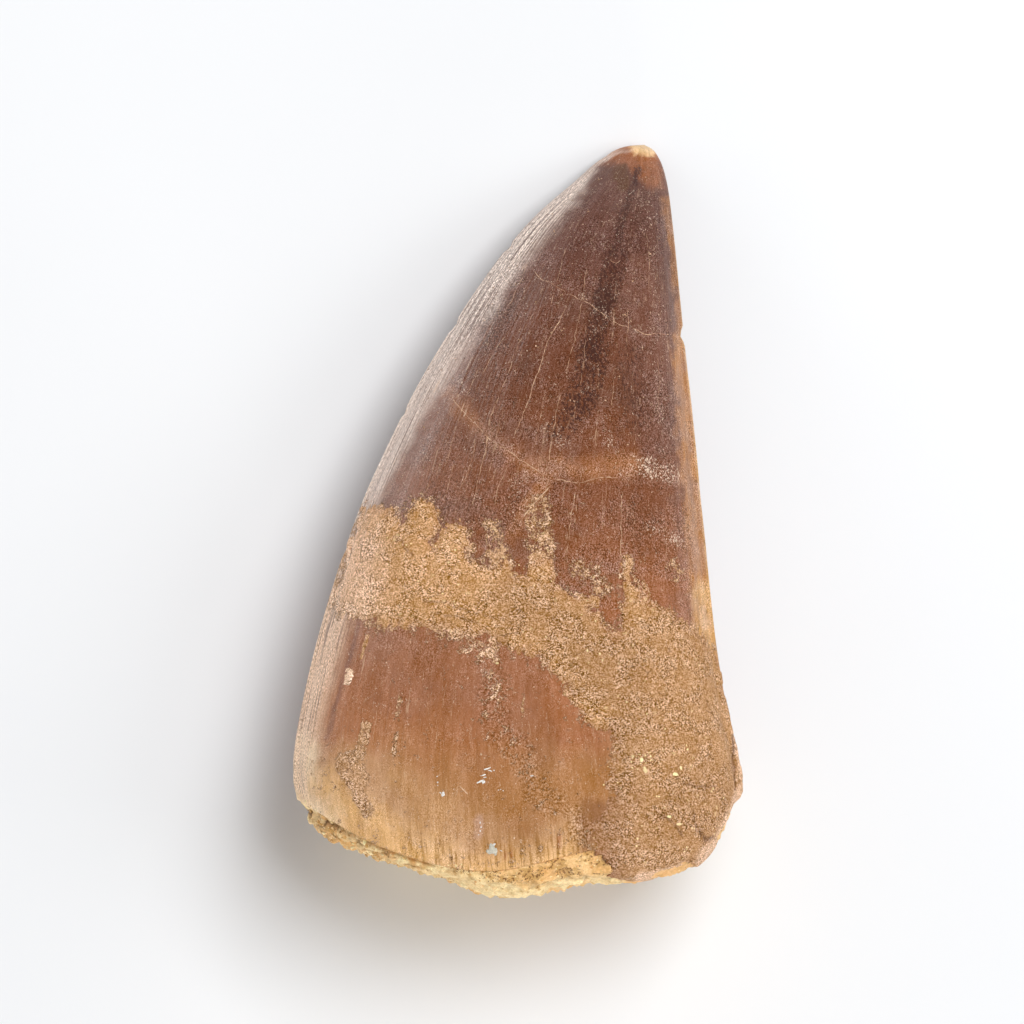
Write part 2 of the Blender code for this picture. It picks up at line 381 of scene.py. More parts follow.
@dataclass(frozen=True)
class PlanView:
    """The plan that marks are placed on: the tooth as it looks from straight above."""

    eye_height: float = 2.0
    plane_height: float = 0.01
    middle: tuple[float, float] = (-0.0004, 0.00064)
    field_width: float = 0.0815

    def of(self, points: Array) -> Array:
        """Where points show on the plan, in millimetres."""
        middle = np.array(self.middle)
        nearer = (self.eye_height - self.plane_height) / (self.eye_height - points[..., 2:3])
        return (middle + (points[..., :2] - middle) * nearer) / MM

    def drop(self, tree: BVHTree, place: tuple[float, float]) -> tuple[Vector, Vector] | None:
        """The point and normal of the surface under a place on the plan, or None beside it."""
        eye = Vector((*self.middle, self.eye_height))
        aim = Vector((place[0] * MM, place[1] * MM, self.plane_height)) - eye
        point, normal, _, _ = tree.ray_cast(eye, aim.normalized())
        return None if point is None else (point, normal)


PLAN = PlanView()
FORM = ToothForm()
NOISE = StoneNoise(11)


@dataclass(frozen=True)
class Stroke:
    """A soft-edged mark along a line on the plan, in millimetres."""

    path: Path
    width: float
    soft: float
    strength: float = 1.0
    shade: Shade | None = None

    def weight(self, plan: Array) -> Array:
        """How strongly the mark covers each point of the plan."""
        off = distance_to(plan, self.path)
        return self.strength * (1 - smoothstep(off, self.width, self.width + self.soft))


Strokes = tuple[Stroke, ...]


@dataclass(frozen=True)
class Lumps:
    """Smooth noise on a mesh, with so many lumps to the metre and a shift of its own."""

    scale: float
    layers: int = 1
    gain: float = 0.5
    shift: float = 0.0

    def at(self, points: Array) -> Array:
        """The noise at the points, from about -1 to 1."""
        return NOISE.layered(points * self.scale + self.shift, self.layers, self.gain)


def line_points(across: Array, along: Array, level: float = 0.0) -> Array:
    """Points that noise is read at to give lines; the less they change along, the longer the lines."""
    return np.stack((across, along, np.full_like(across, level)), axis=-1)


def crowded(turns: Array, share: float) -> Array:
    """Turns round a section, moved closer together at the cutting ridges."""
    return turns - share * np.sin(2 * turns) / 2


def covered(strokes: Strokes, plan: Array) -> Array:
    """How strongly a set of marks covers each point of the plan."""
    return sum(stroke.weight(plan) for stroke in strokes)


def painted_over(tone: Array, colour: Array, weight: Array) -> Array:
    """A tone with a colour laid over it by weight."""
    weight = weight[..., None]
    return tone * (1 - weight) + colour * weight


def shaded(shade: Shade, plan: Array) -> Array:
    """One shade for every point of the plan."""
    return np.broadcast_to(linear(shade), (*plan.shape[:2], 4)).copy()


def repeat_first(marks: dict[str, Array], extra: int) -> dict[str, Array]:
    """Marks whose first ring is repeated for rings that are added before it."""
    pads = ((extra, 0), (0, 0), (0, 0))
    return {name: np.pad(value, pads[:value.ndim], mode="edge") for name, value in marks.items()}


def unit(vectors: Array) -> Array:
    """Vectors brought to a length of 1."""
    return vectors / np.maximum(np.linalg.norm(vectors, axis=-1, keepdims=True), 1e-15)


def run_length(points: Array) -> Array:
    """How far along a line of points each one lies."""
    return np.concatenate(([0.0], np.cumsum(np.linalg.norm(np.diff(points, axis=0), axis=-1))))


def placed(name: str, data: bpy.types.ID) -> Piece:
    """A new object with its data, in the scene."""
    made = bpy.data.objects.new(name, data)
    bpy.context.scene.collection.objects.link(made)
    return made


def closed(name: str, mesh: bpy.types.Mesh, bm: bmesh.types.BMesh) -> Piece:
    """Ends the work on a mesh, with smooth shading, and places it as a piece."""
    for face in bm.faces:
        face.smooth = True
    bm.to_mesh(mesh)
    bm.free()
    return placed(name, mesh)


def surface_of(pieces: list[Piece]) -> BVHTree:
    """The surface of some pieces, for things to lie on."""
    whole = bmesh.new()
    for piece in pieces:
        whole.from_mesh(piece.data)
    tree = BVHTree.FromBMesh(whole)
    whole.free()
    return tree


def grid_normals(points: Array) -> Array:
    """Outward normals of a grid of rings whose last column repeats the first."""
    rings = points[:, :-1]
    across = np.roll(rings, -1, axis=1) - np.roll(rings, 1, axis=1)
    normal = unit(np.cross(across, np.gradient(rings, axis=0)))
    outward = ((rings - rings.mean(axis=1, keepdims=True)) * normal).sum()
    normal = normal * np.sign(outward)
    return np.concatenate((normal, normal[:, :1]), axis=1)


def loft(name: str, points: Array, marks: dict[str, Array]) -> Piece:
    """A closed skin through rings of points.

    Args:
        name: the piece's name.
        points: rows of rings, the last column repeating the first, the first and last row each one point.
        marks: named values or colours for each point. Growth, if given, is a map of places instead.

    Returns:
        The piece, at the origin.
    """
    rows, columns = points.shape[:2]
    bm = bmesh.new()
    bmesh.ops.create_grid(bm, x_segments=columns - 1, y_segments=rows - 1, size=1.0)
    mesh = bpy.data.meshes.new(name)
    bm.to_mesh(mesh)
    bm.free()
    mesh.vertices.foreach_set("co", points.reshape(-1).astype(np.float32))
    growth = marks.pop("Growth", None)
    for mark, values in marks.items():
        colour = values.ndim == 3
        made = mesh.attributes.new(mark, "FLOAT_COLOR" if colour else "FLOAT", "POINT")
        made.data.foreach_set("color" if colour else "value", values.reshape(-1).astype(np.float32))
    if growth is not None:
        corners = np.empty(len(mesh.loops), np.int32)
        mesh.loops.foreach_get("vertex_index", corners)
        made = mesh.uv_layers.new(name="Growth")
        made.uv.foreach_set("vector", growth.reshape(-1, 2)[corners].reshape(-1).astype(np.float32))
    bm = bmesh.new()
    bm.from_mesh(mesh)
    bmesh.ops.remove_doubles(bm, verts=bm.verts, dist=1e-8)
    bmesh.ops.recalc_face_normals(bm, faces=bm.faces)
    return closed(name, mesh, bm)


def inside_box(points: Array) -> Array:
    """Points kept within the solid model's box and above the surface it rests on."""
    low, high = np.array(cad_box[0]), np.array(cad_box[1])
    return np.clip(points, low, high)


@dataclass(frozen=True)
class Cloud:
    """A cloudy noise in a finish, as fine as its scale, in all or in each direction.

    Its ramp tells how it is read, and its pull how far a mark raises it.
    """

    scale: float | Triple
    layers: float
    rough: float
    ramp: Ramp = (0.0, 1.0)
    pull: float = 0.0


@dataclass(frozen=True)
class Streaks:
    """Noise drawn out along the growth lines, with so many streaks to a millimetre across and along."""

    across: float
    along: float
    layers: float
    ramp: Ramp = (0.0, 1.0)


class NodeBench:
    """One material, built from nodes."""

    greying: float = 0.38
    girth_band: Ramp = (0.7, 1.35)

    def __init__(self, name: str) -> None:
        """Starts the material with a surface shader."""
        self.material = bpy.data.materials.new(name)
        self.material.use_nodes = True
        self.tree = self.material.node_tree
        self.tree.nodes.clear()
        self.shader = self.tree.nodes.new("ShaderNodeBsdfPrincipled")
        output = self.tree.nodes.new("ShaderNodeOutputMaterial")
        self.tree.links.new(self.shader.outputs["BSDF"], output.inputs["Surface"])

    def feed(self, socket: Socket, value: object) -> None:
        """Links a socket to another, or sets its value or shade."""
        if isinstance(value, Socket):
            self.tree.links.new(value, socket)
        else:
            socket.default_value = tuple(linear(value)) if isinstance(value, Shade) else value

    def node(self, kind: str, inputs: dict, **settings: object) -> bpy.types.Node:
        """Adds a node.

        Args:
            kind: the node's type, without its usual prefix.
            inputs: sockets or values by name or number.
            **settings: the node's own settings.

        Returns:
            The node.
        """
        made = self.tree.nodes.new("ShaderNode" + kind)
        for name, value in settings.items():
            setattr(made, name, value)
        for key, value in inputs.items():
            self.feed(made.inputs[key], value)
        return made

    def finish(self, inputs: dict[str, object]) -> bpy.types.Material:
        """Feeds the surface shader's sockets, by name, and hands over the material."""
        for name, value in inputs.items():
            self.feed(self.shader.inputs[name], value)
        return self.material

    def mark(self, name: str, output: str = "Fac") -> Socket:
        """A value or colour that the mesh carries."""
        return self.node("Attribute", {}, attribute_name=name).outputs[output]

    def place(self) -> Socket:
        """The point's place in the object, in metres."""
        return self.node("TexCoord", {}).outputs["Object"]

    def noise(self, at: Socket, cloud: Cloud, output: str | int = 0) -> Socket:
        """Cloudy noise from 0 to 1, or its Color."""
        scale = cloud.scale
        if isinstance(scale, tuple):
            at, scale = self.node("Mapping", {"Vector": at, "Scale": scale}).outputs["Vector"], 1.0
        inputs = {"Vector": at, "Scale": scale, "Detail": cloud.layers, "Roughness": cloud.rough}
        return self.node("TexNoise", inputs).outputs[output]

    def cloud(self, at: Socket, cloud: Cloud, mark: Socket | None = None) -> Socket:
        """Cloudy noise, raised by a mark if one is given, and read with its ramp."""
        noise = self.noise(at, cloud)
        return self.read(noise if mark is None else self.pulled(noise, mark, cloud.pull), cloud)

    def read(self, value: Socket, source: Cloud | Streaks) -> Socket:
        """A value read with the ramp of a noise."""
        return self.range(value, *source.ramp)

    def streaks(self, streaks: Streaks) -> Socket:
        """Drawn-out noise from 0 to 1, kept about equally fine up the narrowing crown."""
        growth = self.node("UVMap", {}, uv_map="Growth").outputs["UV"]
        across, along = streaks.across * 100, streaks.along * 100
        coarse = self.noise(growth, Cloud((across, along, 1.0), streaks.layers, 0.6))
        fine = self.noise(growth, Cloud((across * 2, along * 1.1, 1.0), streaks.layers, 0.6))
        return self.blend(self.range(self.mark("girth"), *self.girth_band), coarse, fine)

    def streaked(self, streaks: Streaks) -> Socket:
        """Drawn-out noise, read with its ramp."""
        return self.read(self.streaks(streaks), streaks)

    def cells(self, at: Socket, scale: float, output: str, **settings: object) -> Socket:
        """Cell noise: Distance to a cell's middle, or its own Color."""
        return self.node("TexVoronoi", {"Vector": at, "Scale": scale}, **settings).outputs[output]

    def dice(self, at: Socket, scale: float) -> Socket:
        """A number from 0 to 1 for each small cell."""
        return self.node("SeparateColor", {0: self.cells(at, scale, "Color")}).outputs[0]

    def math(self, operation: str, first: object, second: object = 0.0) -> Socket:
        """Arithmetic on one or two values."""
        return self.node("Math", {0: first, 1: second}, operation=operation).outputs[0]

    def times(self, first: object, second: object) -> Socket:
        """Two values multiplied."""
        return self.math("MULTIPLY", first, second)

    def pulled(self, noise: Socket, mark: Socket, pull: float) -> Socket:
        """A noise raised by a share of a mark."""
        return self.math("ADD", noise, self.times(mark, pull))

    def off_middle(self, noise: Socket) -> Socket:
        """How far a noise is from its middle value."""
        return self.math("ABSOLUTE", self.math("SUBTRACT", noise, 0.5))

    def range(self, value: Socket, low: float, high: float, start: float = 0.0, end: float = 1.0) -> Socket:
        """A value moved from low..high to start..end with soft ends."""
        inputs = {"Value": value, "From Min": low, "From Max": high, "To Min": start, "To Max": end}
        return self.node("MapRange", inputs, interpolation_type="SMOOTHSTEP").outputs[0]

    def mix(self, share: object, first: object, second: object) -> Socket:
        """Two colours mixed."""
        return self.node("Mix", {0: share, 6: first, 7: second}, data_type="RGBA").outputs[2]

    def blend(self, share: object, first: object, second: object) -> Socket:
        """Two values mixed."""
        return self.node("Mix", {0: share, 2: first, 3: second}, data_type="FLOAT").outputs[0]

    def tinted(self, colour: object, value: Socket) -> Socket:
        """A colour multiplied by a value, a little greyer where that makes it lighter."""
        richness = self.math("SUBTRACT", 1 + self.greying, self.times(value, self.greying))
        inputs = {"Color": colour, "Value": value, "Saturation": richness}
        return self.node("HueSaturation", inputs).outputs[0]

    def bumps(self, *layers: tuple[Socket, float]) -> Socket:
        """Bumps on top of each other, each a height of 0 to 1 and its depth in metres."""
        normal = None
        for height, depth in layers:
            below = {} if normal is None else {"Normal": normal}
            normal = self.node("Bump", {"Height": height, "Distance": depth, **below}).outputs[0]
        return normal


@dataclass(frozen=True)
class SandLook:
    """How the hardened sand looks, in the crust and where it dusts the enamel."""

    broad: Cloud = Cloud(300.0, 4.0, 0.6, (*NOISE_BAND, 0.95, 1.05))
    clumps: Cloud = Cloud(1300.0, 4.0, 0.7, (*NOISE_BAND, 0.95, 1.05))
    grit: Cloud = Cloud(7000.0, 2.0, 0.6, (*NOISE_BAND, 0.88, 1.12))
    grit_height: float = 0.5
    rough_patches: Cloud = Cloud(650.0, 3.0, 0.6, (0.42, 0.58, 0.55, 1.0))
    grains: float = 12500.0
    grain_tint: Ramp = (0.0, 1.0, 0.28, 1.72)
    warp: Cloud = Cloud(1500.0, 3.0, 0.5)
    warp_reach: float = 0.0005
    pits: Cloud = Cloud(4200.0, 4.0, 0.8, (0.39, 0.43, 0.42, 0.0))
    pit_depth: float = 0.5
    cracks: float = 380.0
    crack_edge: Ramp = (0.006, 0.022, 0.55, 0.0)
    crack_patches: Cloud = Cloud(420.0, 3.0, 0.6, (0.585, 0.625))
    pale_grains: float = 5200.0
    palest: Ramp = (0.988, 0.996, 0.0, 0.32)

    def on(self, bench: NodeBench, base: object) -> tuple[Socket, Socket]:
        """The sand's colour and height.

        Args:
            bench: the material.
            base: its mean colour.

        Returns:
            The colour, and the height from about 0 to 1.
        """
        place = bench.place()
        clumps, grit = bench.noise(place, self.clumps), bench.noise(place, self.grit)
        rough = bench.cloud(place, self.rough_patches)
        colour = bench.tinted(base, bench.cloud(place, self.broad))
        colour = bench.tinted(colour, bench.read(clumps, self.clumps))
        colour = bench.tinted(colour, bench.blend(rough, 1.0, bench.read(grit, self.grit)))
        grains = bench.range(bench.dice(place, self.grains), *self.grain_tint)
        colour = bench.tinted(colour, bench.blend(rough, 1.0, grains))
        reach = {0: bench.noise(place, self.warp, "Color"), 1: (self.warp_reach,) * 3}
        moved = bench.node("VectorMath", reach, operation="MULTIPLY").outputs[0]
        bent = bench.node("VectorMath", {0: place, 1: moved}, operation="ADD").outputs[0]
        edge = bench.cells(bent, self.cracks, "Distance", feature="DISTANCE_TO_EDGE")
        cracks = bench.times(bench.cloud(place, self.crack_patches), bench.range(edge, *self.crack_edge))
        # Painted shade in the sand's pits and cracks, which are also set lower.
        dark = bench.math("MAXIMUM", bench.times(bench.cloud(bent, self.pits), rough), cracks)
        colour = bench.mix(dark, colour, Shade.HOLLOW_SHADE)
        pale = bench.range(bench.dice(bent, self.pale_grains), *self.palest)
        colour = bench.mix(pale, colour, Shade.BONE_CREAM)
        height = bench.math("ADD", bench.times(grit, self.grit_height), clumps)
        return colour, bench.math("SUBTRACT", height, bench.times(dark, self.pit_depth))


@dataclass(frozen=True)
class EnamelFinish:
    """Polished fossil enamel: growth streaks, fine hairlines, dark specks, thin sandy dust, painted glints
    and a painted highlight on the left flank.
    """

    name: str = "fossil_enamel"
    roughness: Ramp = (*NOISE_BAND, 0.3, 0.48)
    shine: float = 0.4
    coat: float = 0.06
    coat_roughness: float = 0.2
    broad: Streaks = Streaks(0.35, 0.09, 3.0, (*NOISE_BAND, 0.92, 1.08))
    medium: Streaks = Streaks(1.7, 0.3, 3.0, (*NOISE_BAND, 0.93, 1.07))
    fine: Streaks = Streaks(4.5, 0.9, 3.0, (*NOISE_BAND, 0.86, 1.14))
    fine_depth: float = 0.00004
    grain: Cloud = Cloud((12500.0, 9000.0, 12500.0), 1.0, 0.5, (0.3, 0.7, 0.32, 1.8))
    grain_depth: float = 0.00002
    bloom: Cloud = Cloud(260.0, 4.0, 0.6, (0.48, 0.62, 0.0, 0.3))
    bloom_where_coarse: Ramp = (0.45, 0.95, 0.3, 1.0)
    wear: Cloud = Cloud(1100.0, 4.0, 0.7, (0.38, 0.62, 0.92, 1.08))
    rubbed: Cloud = Cloud(420.0, 4.0, 0.7, (0.44, 0.58, 0.45, 1.05))
    rim_lines: Streaks = Streaks(3.0, 0.3, 2.0, (0.4, 0.5, 0.66, 1.03))
    # The left flank's lines: bumps, and the pale lines of its painted highlight with darker brown in the
    # grooves between them.
    flank_lines: Streaks = Streaks(3.9, 0.12, 3.0, (0.4, 0.53, 0.42, 1.0))
    flank_line_depth: float = 0.00006
    flank_grooves: Ramp = (0.4, 0.45, 0.75, 0.0)
    flank_hairs: Streaks = Streaks(7.0, 0.25, 2.0, (0.38, 0.58, 0.72, 1.0))
    flank_speckle: Streaks = Streaks(7.0, 3.4, 2.0, (0.33, 0.67, 0.42, 1.58))
    cream_where_matt: Ramp = (0.04, 0.16)
    hairlines: Streaks = Streaks(0.9, 0.035, 2.0, (0.0, 0.008, 0.45, 0.0))
    hair_patches: Cloud = Cloud(700.0, 4.0, 0.75, (0.5, 0.58))
    scuffs: Streaks = Streaks(2.4, 0.8, 4.0, (0.58, 0.66, 0.0, 0.3))
    scuff_grain: Ramp = (0.46, 0.58)
    grime_specks: Cloud = Cloud(6000.0, 3.0, 0.7, (0.41, 0.6, 0.48, 1.4))
    grime_patches: Cloud = Cloud(1300.0, 3.0, 0.65, (0.36, 0.5, 0.35, 1.0))
    blotches: Cloud = Cloud((5200.0, 2200.0, 5200.0), 4.0, 0.8, (0.548, 0.58, 0.08, 0.96), 0.062)
    blotch_edge: Ramp = (0.0, 0.4)
    glint_patches: Cloud = Cloud(900.0, 4.0, 0.75, (0.42, 0.62, -0.55, 0.22))
    sparks: Cloud = Cloud((8200.0, 5600.0, 8200.0), 2.0, 0.6, (0.685, 0.735, 0.0, 0.8), 0.105)
    curls: Cloud = Cloud(2600.0, 2.0, 0.6, (0.003, 0.011, 0.8, 0.0))
    curl_bits: Cloud = Cloud(4200.0, 2.0, 0.6, (0.575, 0.61), 0.09)
    dust_specks: Cloud = Cloud(5600.0, 3.0, 0.75, (1.225, 1.285, 0.0, 0.95), 0.5)
    dust_patches: Cloud = Cloud(1300.0, 3.0, 0.65)
    dust_matt: float = 0.5
    dust_depth: float = 0.00009

    def grown(self, bench: NodeBench, fine: Socket, grain: Socket) -> Socket:
        """The enamel's own colour, cloudy and streaked along its growth lines.

        Args:
            bench: the material.
            fine: its fine streaks.
            grain: its fine grain.

        Returns:
            The colour.
        """
        place, coarse = bench.place(), bench.mark("coarse")
        bloom = bench.times(bench.cloud(place, self.bloom), bench.range(coarse, *self.bloom_where_coarse))
        bloom_shade = bench.tinted(Shade.BLOOM, bench.mark("lightness"))
        colour = bench.mix(bloom, bench.mark("tone", "Color"), bloom_shade)
        colour = bench.tinted(colour, bench.streaked(self.broad))
        colour = bench.tinted(colour, bench.streaked(self.medium))
        worn = bench.times(bench.read(fine, self.fine), bench.cloud(place, self.wear))
        worn = bench.times(worn, bench.read(grain, self.grain))
        rubbed = bench.times(coarse, bench.cloud(place, self.rubbed))
        colour = bench.tinted(colour, bench.blend(rubbed, 1.0, worn))
        return bench.tinted(colour, bench.blend(bench.mark("rim"), 1.0, bench.streaked(self.rim_lines)))

    def highlighted(self, bench: NodeBench, colour: Socket, lines: Socket) -> Socket:
        """Adds the painted highlight on the left flank: pale lines, with darker brown laid in the grooves
        between them.

        Args:
            bench: the material.
            colour: the colour below.
            lines: noise drawn out along the flank.

        Returns:
            The colour.
        """
        flank = bench.mark("flank")
        # Painted highlight: silvery lines higher up, cream where the enamel is matt.
        highlight_lines = bench.times(bench.read(lines, self.flank_lines), bench.streaked(self.flank_hairs))
        matt = bench.range(bench.mark("matt"), *self.cream_where_matt)
        painted_highlight = bench.mix(matt, Shade.FLANK_HIGHLIGHT, Shade.FLANK_CREAM_SHEEN)
        colour = bench.mix(bench.times(flank, highlight_lines), colour, painted_highlight)
        grooves = bench.times(flank, bench.range(lines, *self.flank_grooves))
        colour = bench.mix(grooves, colour, Shade.HIGHLIGHT_GROOVE)
        return bench.tinted(colour, bench.blend(flank, 1.0, bench.streaked(self.flank_speckle)))

    def scuffed(self, bench: NodeBench, colour: Socket, grain: Socket) -> Socket:
        """Adds pale hairlines and scuffs, then speckled grime.

        Args:
            bench: the material.
            colour: the colour below.
            grain: the enamel's fine grain.

        Returns:
            The colour.
        """
        place = bench.place()
        hairs = bench.read(bench.off_middle(bench.streaks(self.hairlines)), self.hairlines)
        hairs = bench.times(hairs, bench.cloud(place, self.hair_patches))
        scuffs = bench.times(bench.streaked(self.scuffs), bench.range(grain, *self.scuff_grain))
        colour = bench.mix(bench.math("MAXIMUM", hairs, scuffs), colour, Shade.VEIN_PALE)
        grimy = bench.tinted(colour, bench.cloud(place, self.grime_specks))
        grime = bench.times(bench.mark("grime"), bench.cloud(place, self.grime_patches))
        return bench.mix(grime, colour, grimy)

    def flecked(self, bench: NodeBench, colour: Socket) -> Socket:
        """Adds dark blotches, then painted glints as pale dots and curls.

        Args:
            bench: the material.
            colour: the colour below.

        Returns:
            The colour.
        """
        place, fleck = bench.place(), bench.mark("fleck")
        dark = bench.times(bench.cloud(place, self.blotches, fleck), bench.range(fleck, *self.blotch_edge))
        colour = bench.mix(dark, colour, Shade.STREAK_RED)
        # Painted glints, gathered where the glint mark and its patches are strong.
        near = bench.math("ADD", bench.mark("glint"), bench.cloud(place, self.glint_patches))
        curls = bench.read(bench.off_middle(bench.noise(place, self.curls)), self.curls)
        curls = bench.times(curls, bench.cloud(place, self.curl_bits, near))
        dots = bench.math("MAXIMUM", bench.cloud(place, self.sparks, near), curls)
        return bench.mix(dots, colour, Shade.GLINT)

    def material(self) -> bpy.types.Material:
        """The finish as a material."""
        bench = NodeBench(self.name)
        place = bench.place()
        fine, lines = bench.streaks(self.fine), bench.streaks(self.flank_lines)
        grain = bench.noise(place, self.grain)
        colour = self.highlighted(bench, self.grown(bench, fine, grain), lines)
        colour = self.flecked(bench, self.scuffed(bench, colour, grain))
        dust = bench.math("ADD", bench.noise(place, self.dust_specks), bench.noise(place, self.dust_patches))
        dust = bench.read(bench.pulled(dust, bench.mark("dust"), self.dust_specks.pull), self.dust_specks)
        sand, height = SandLook().on(bench, Shade.DUST)
        matt = bench.math("ADD", bench.times(dust, self.dust_matt), bench.mark("matt"))
        layers = (
            (lines, self.flank_line_depth),
            (fine, self.fine_depth),
            (grain, self.grain_depth),
            (bench.times(dust, height), self.dust_depth),
        )
        return bench.finish({
            "Base Color": bench.mix(dust, colour, sand),
            "Roughness": bench.math("ADD", bench.range(fine, *self.roughness), matt),
            "Specular IOR Level": self.shine,
            "Coat Weight": self.coat,
            "Coat Roughness": self.coat_roughness,
            "Normal": bench.bumps(*layers),
        })


@dataclass(frozen=True)
class SandFinish:
    """Hardened phosphate sand: fine pale, tan and dark grains, pits and short cracks, with painted shade in
    the pits and cracks.
    """

    name: str = "hardened_sand"
    roughness: Ramp = (0.4, 1.0, 0.96, 0.8)
    shine: float = 0.25
    depth: float = 0.00007

    def material(self) -> bpy.types.Material:
        """The finish as a material."""
        bench = NodeBench(self.name)
        colour, height = SandLook().on(bench, bench.mark("tone", "Color"))
        return bench.finish({
            "Base Color": colour,
            "Roughness": bench.range(height, *self.roughness),
            "Specular IOR Level": self.shine,
            "Normal": bench.bumps((height, self.depth)),
        })


@dataclass(frozen=True)
class BoneFinish:
    """Broken root bone: cream to orange, porous, with olive stains and dark brown specks."""

    name: str = "root_bone"
    roughness: Ramp = (*NOISE_BAND, 0.65, 0.95)
    grain: Cloud = Cloud(5200.0, 3.0, 0.7, (*NOISE_BAND, 0.86, 1.14))
    grain_depth: float = 0.00006
    lumps: Cloud = Cloud(1100.0, 4.0, 0.65, (*NOISE_BAND, 0.95, 1.06))
    lump_depth: float = 0.0003
    rust: Cloud = Cloud(700.0, 4.0, 0.75, (0.5, 0.6, 0.0, 0.28))
    stained: Ramp = (0.0, 0.35, 0.15, 1.0)
    olive: Cloud = Cloud(2100.0, 4.0, 0.75, (0.55, 0.6, 0.0, 0.85), 0.09)
    pores: Cloud = Cloud(2900.0, 3.0, 0.75, (0.585, 0.635, 0.0, 0.4))
    specks: Cloud = Cloud(5200.0, 3.0, 0.75, (0.6, 0.64, 0.0, 0.9), 0.075)

    def material(self) -> bpy.types.Material:
        """The finish as a material."""
        bench = NodeBench(self.name)
        place, stain = bench.place(), bench.mark("stain")
        grain, lumps = bench.noise(place, self.grain), bench.noise(place, self.lumps)
        inside = bench.range(stain, *self.stained)
        colour = bench.tinted(bench.mark("tone", "Color"), bench.read(lumps, self.lumps))
        colour = bench.tinted(colour, bench.read(grain, self.grain))
        colour = bench.mix(bench.cloud(place, self.rust), colour, Shade.BONE_ORANGE)
        olive = bench.times(bench.cloud(place, self.olive, stain), inside)
        colour = bench.mix(olive, colour, Shade.BONE_OLIVE)
        colour = bench.mix(bench.cloud(place, self.pores), colour, Shade.BONE_HONEY)
        specks = bench.times(bench.cloud(place, self.specks, stain), inside)
        return bench.finish({
            "Base Color": bench.mix(specks, colour, Shade.BONE_DARK),
            "Roughness": bench.range(grain, *self.roughness),
            "Normal": bench.bumps((lumps, self.lump_depth), (grain, self.grain_depth)),
        })


@dataclass(frozen=True)
class VeinFinish:
    """Pale mineral in the enamel's hairline cracks, broken into beads."""

    name: str = "crack_mineral"
    beads: Cloud = Cloud(2600.0, 3.0, 0.7, (0.35, 0.62))
    roughness: Ramp = (0.2, 0.8, 0.45, 0.8)
    depth: float = 0.00003

    def material(self) -> bpy.types.Material:
        """The finish as a material."""
        bench = NodeBench(self.name)
        beads = bench.noise(bench.place(), self.beads)
        pale = bench.read(beads, self.beads)
        return bench.finish({
            "Base Color": bench.mix(pale, bench.mark("tone", "Color"), Shade.VEIN_PALE),
            "Roughness": bench.range(beads, *self.roughness),
            "Normal": bench.bumps((beads, self.depth)),
        })


@dataclass(frozen=True)
class GrainFinish:
    """Single mineral grains, each in its own colour with a fine mottle."""

    name: str = "mineral_grain"
    mottle: Cloud = Cloud(5200.0, 3.0, 0.7, (0.3, 0.7, 0.78, 1.16))
    roughness: Ramp = (0.2, 0.8, 0.4, 0.75)
    depth: float = 0.00004

    def material(self) -> bpy.types.Material:
        """The finish as a material."""
        bench = NodeBench(self.name)
        mottle = bench.noise(bench.place(), self.mottle)
        return bench.finish({
            "Base Color": bench.tinted(bench.mark("tone", "Color"), bench.read(mottle, self.mottle)),
            "Roughness": bench.range(mottle, *self.roughness),
            "Normal": bench.bumps((mottle, self.depth)),
        })


@dataclass(frozen=True)
class FloorFinish:
    """Plain pale studio floor with a faint grain."""

    name: str = "studio_floor"
    shade: tuple[float, float, float, float] = (0.848, 0.86, 0.878, 1.0)
    grain: Cloud = Cloud(60.0, 2.0, 0.5, (0.0, 1.0, 0.995, 1.005))
    roughness: float = 0.95
    shine: float = 0.1

    def material(self) -> bpy.types.Material:
        """The finish as a material."""
        bench = NodeBench(self.name)
        return bench.finish({
            "Base Color": bench.tinted(self.shade, bench.cloud(bench.place(), self.grain)),
            "Roughness": self.roughness,
            "Specular IOR Level": self.shine,
        })


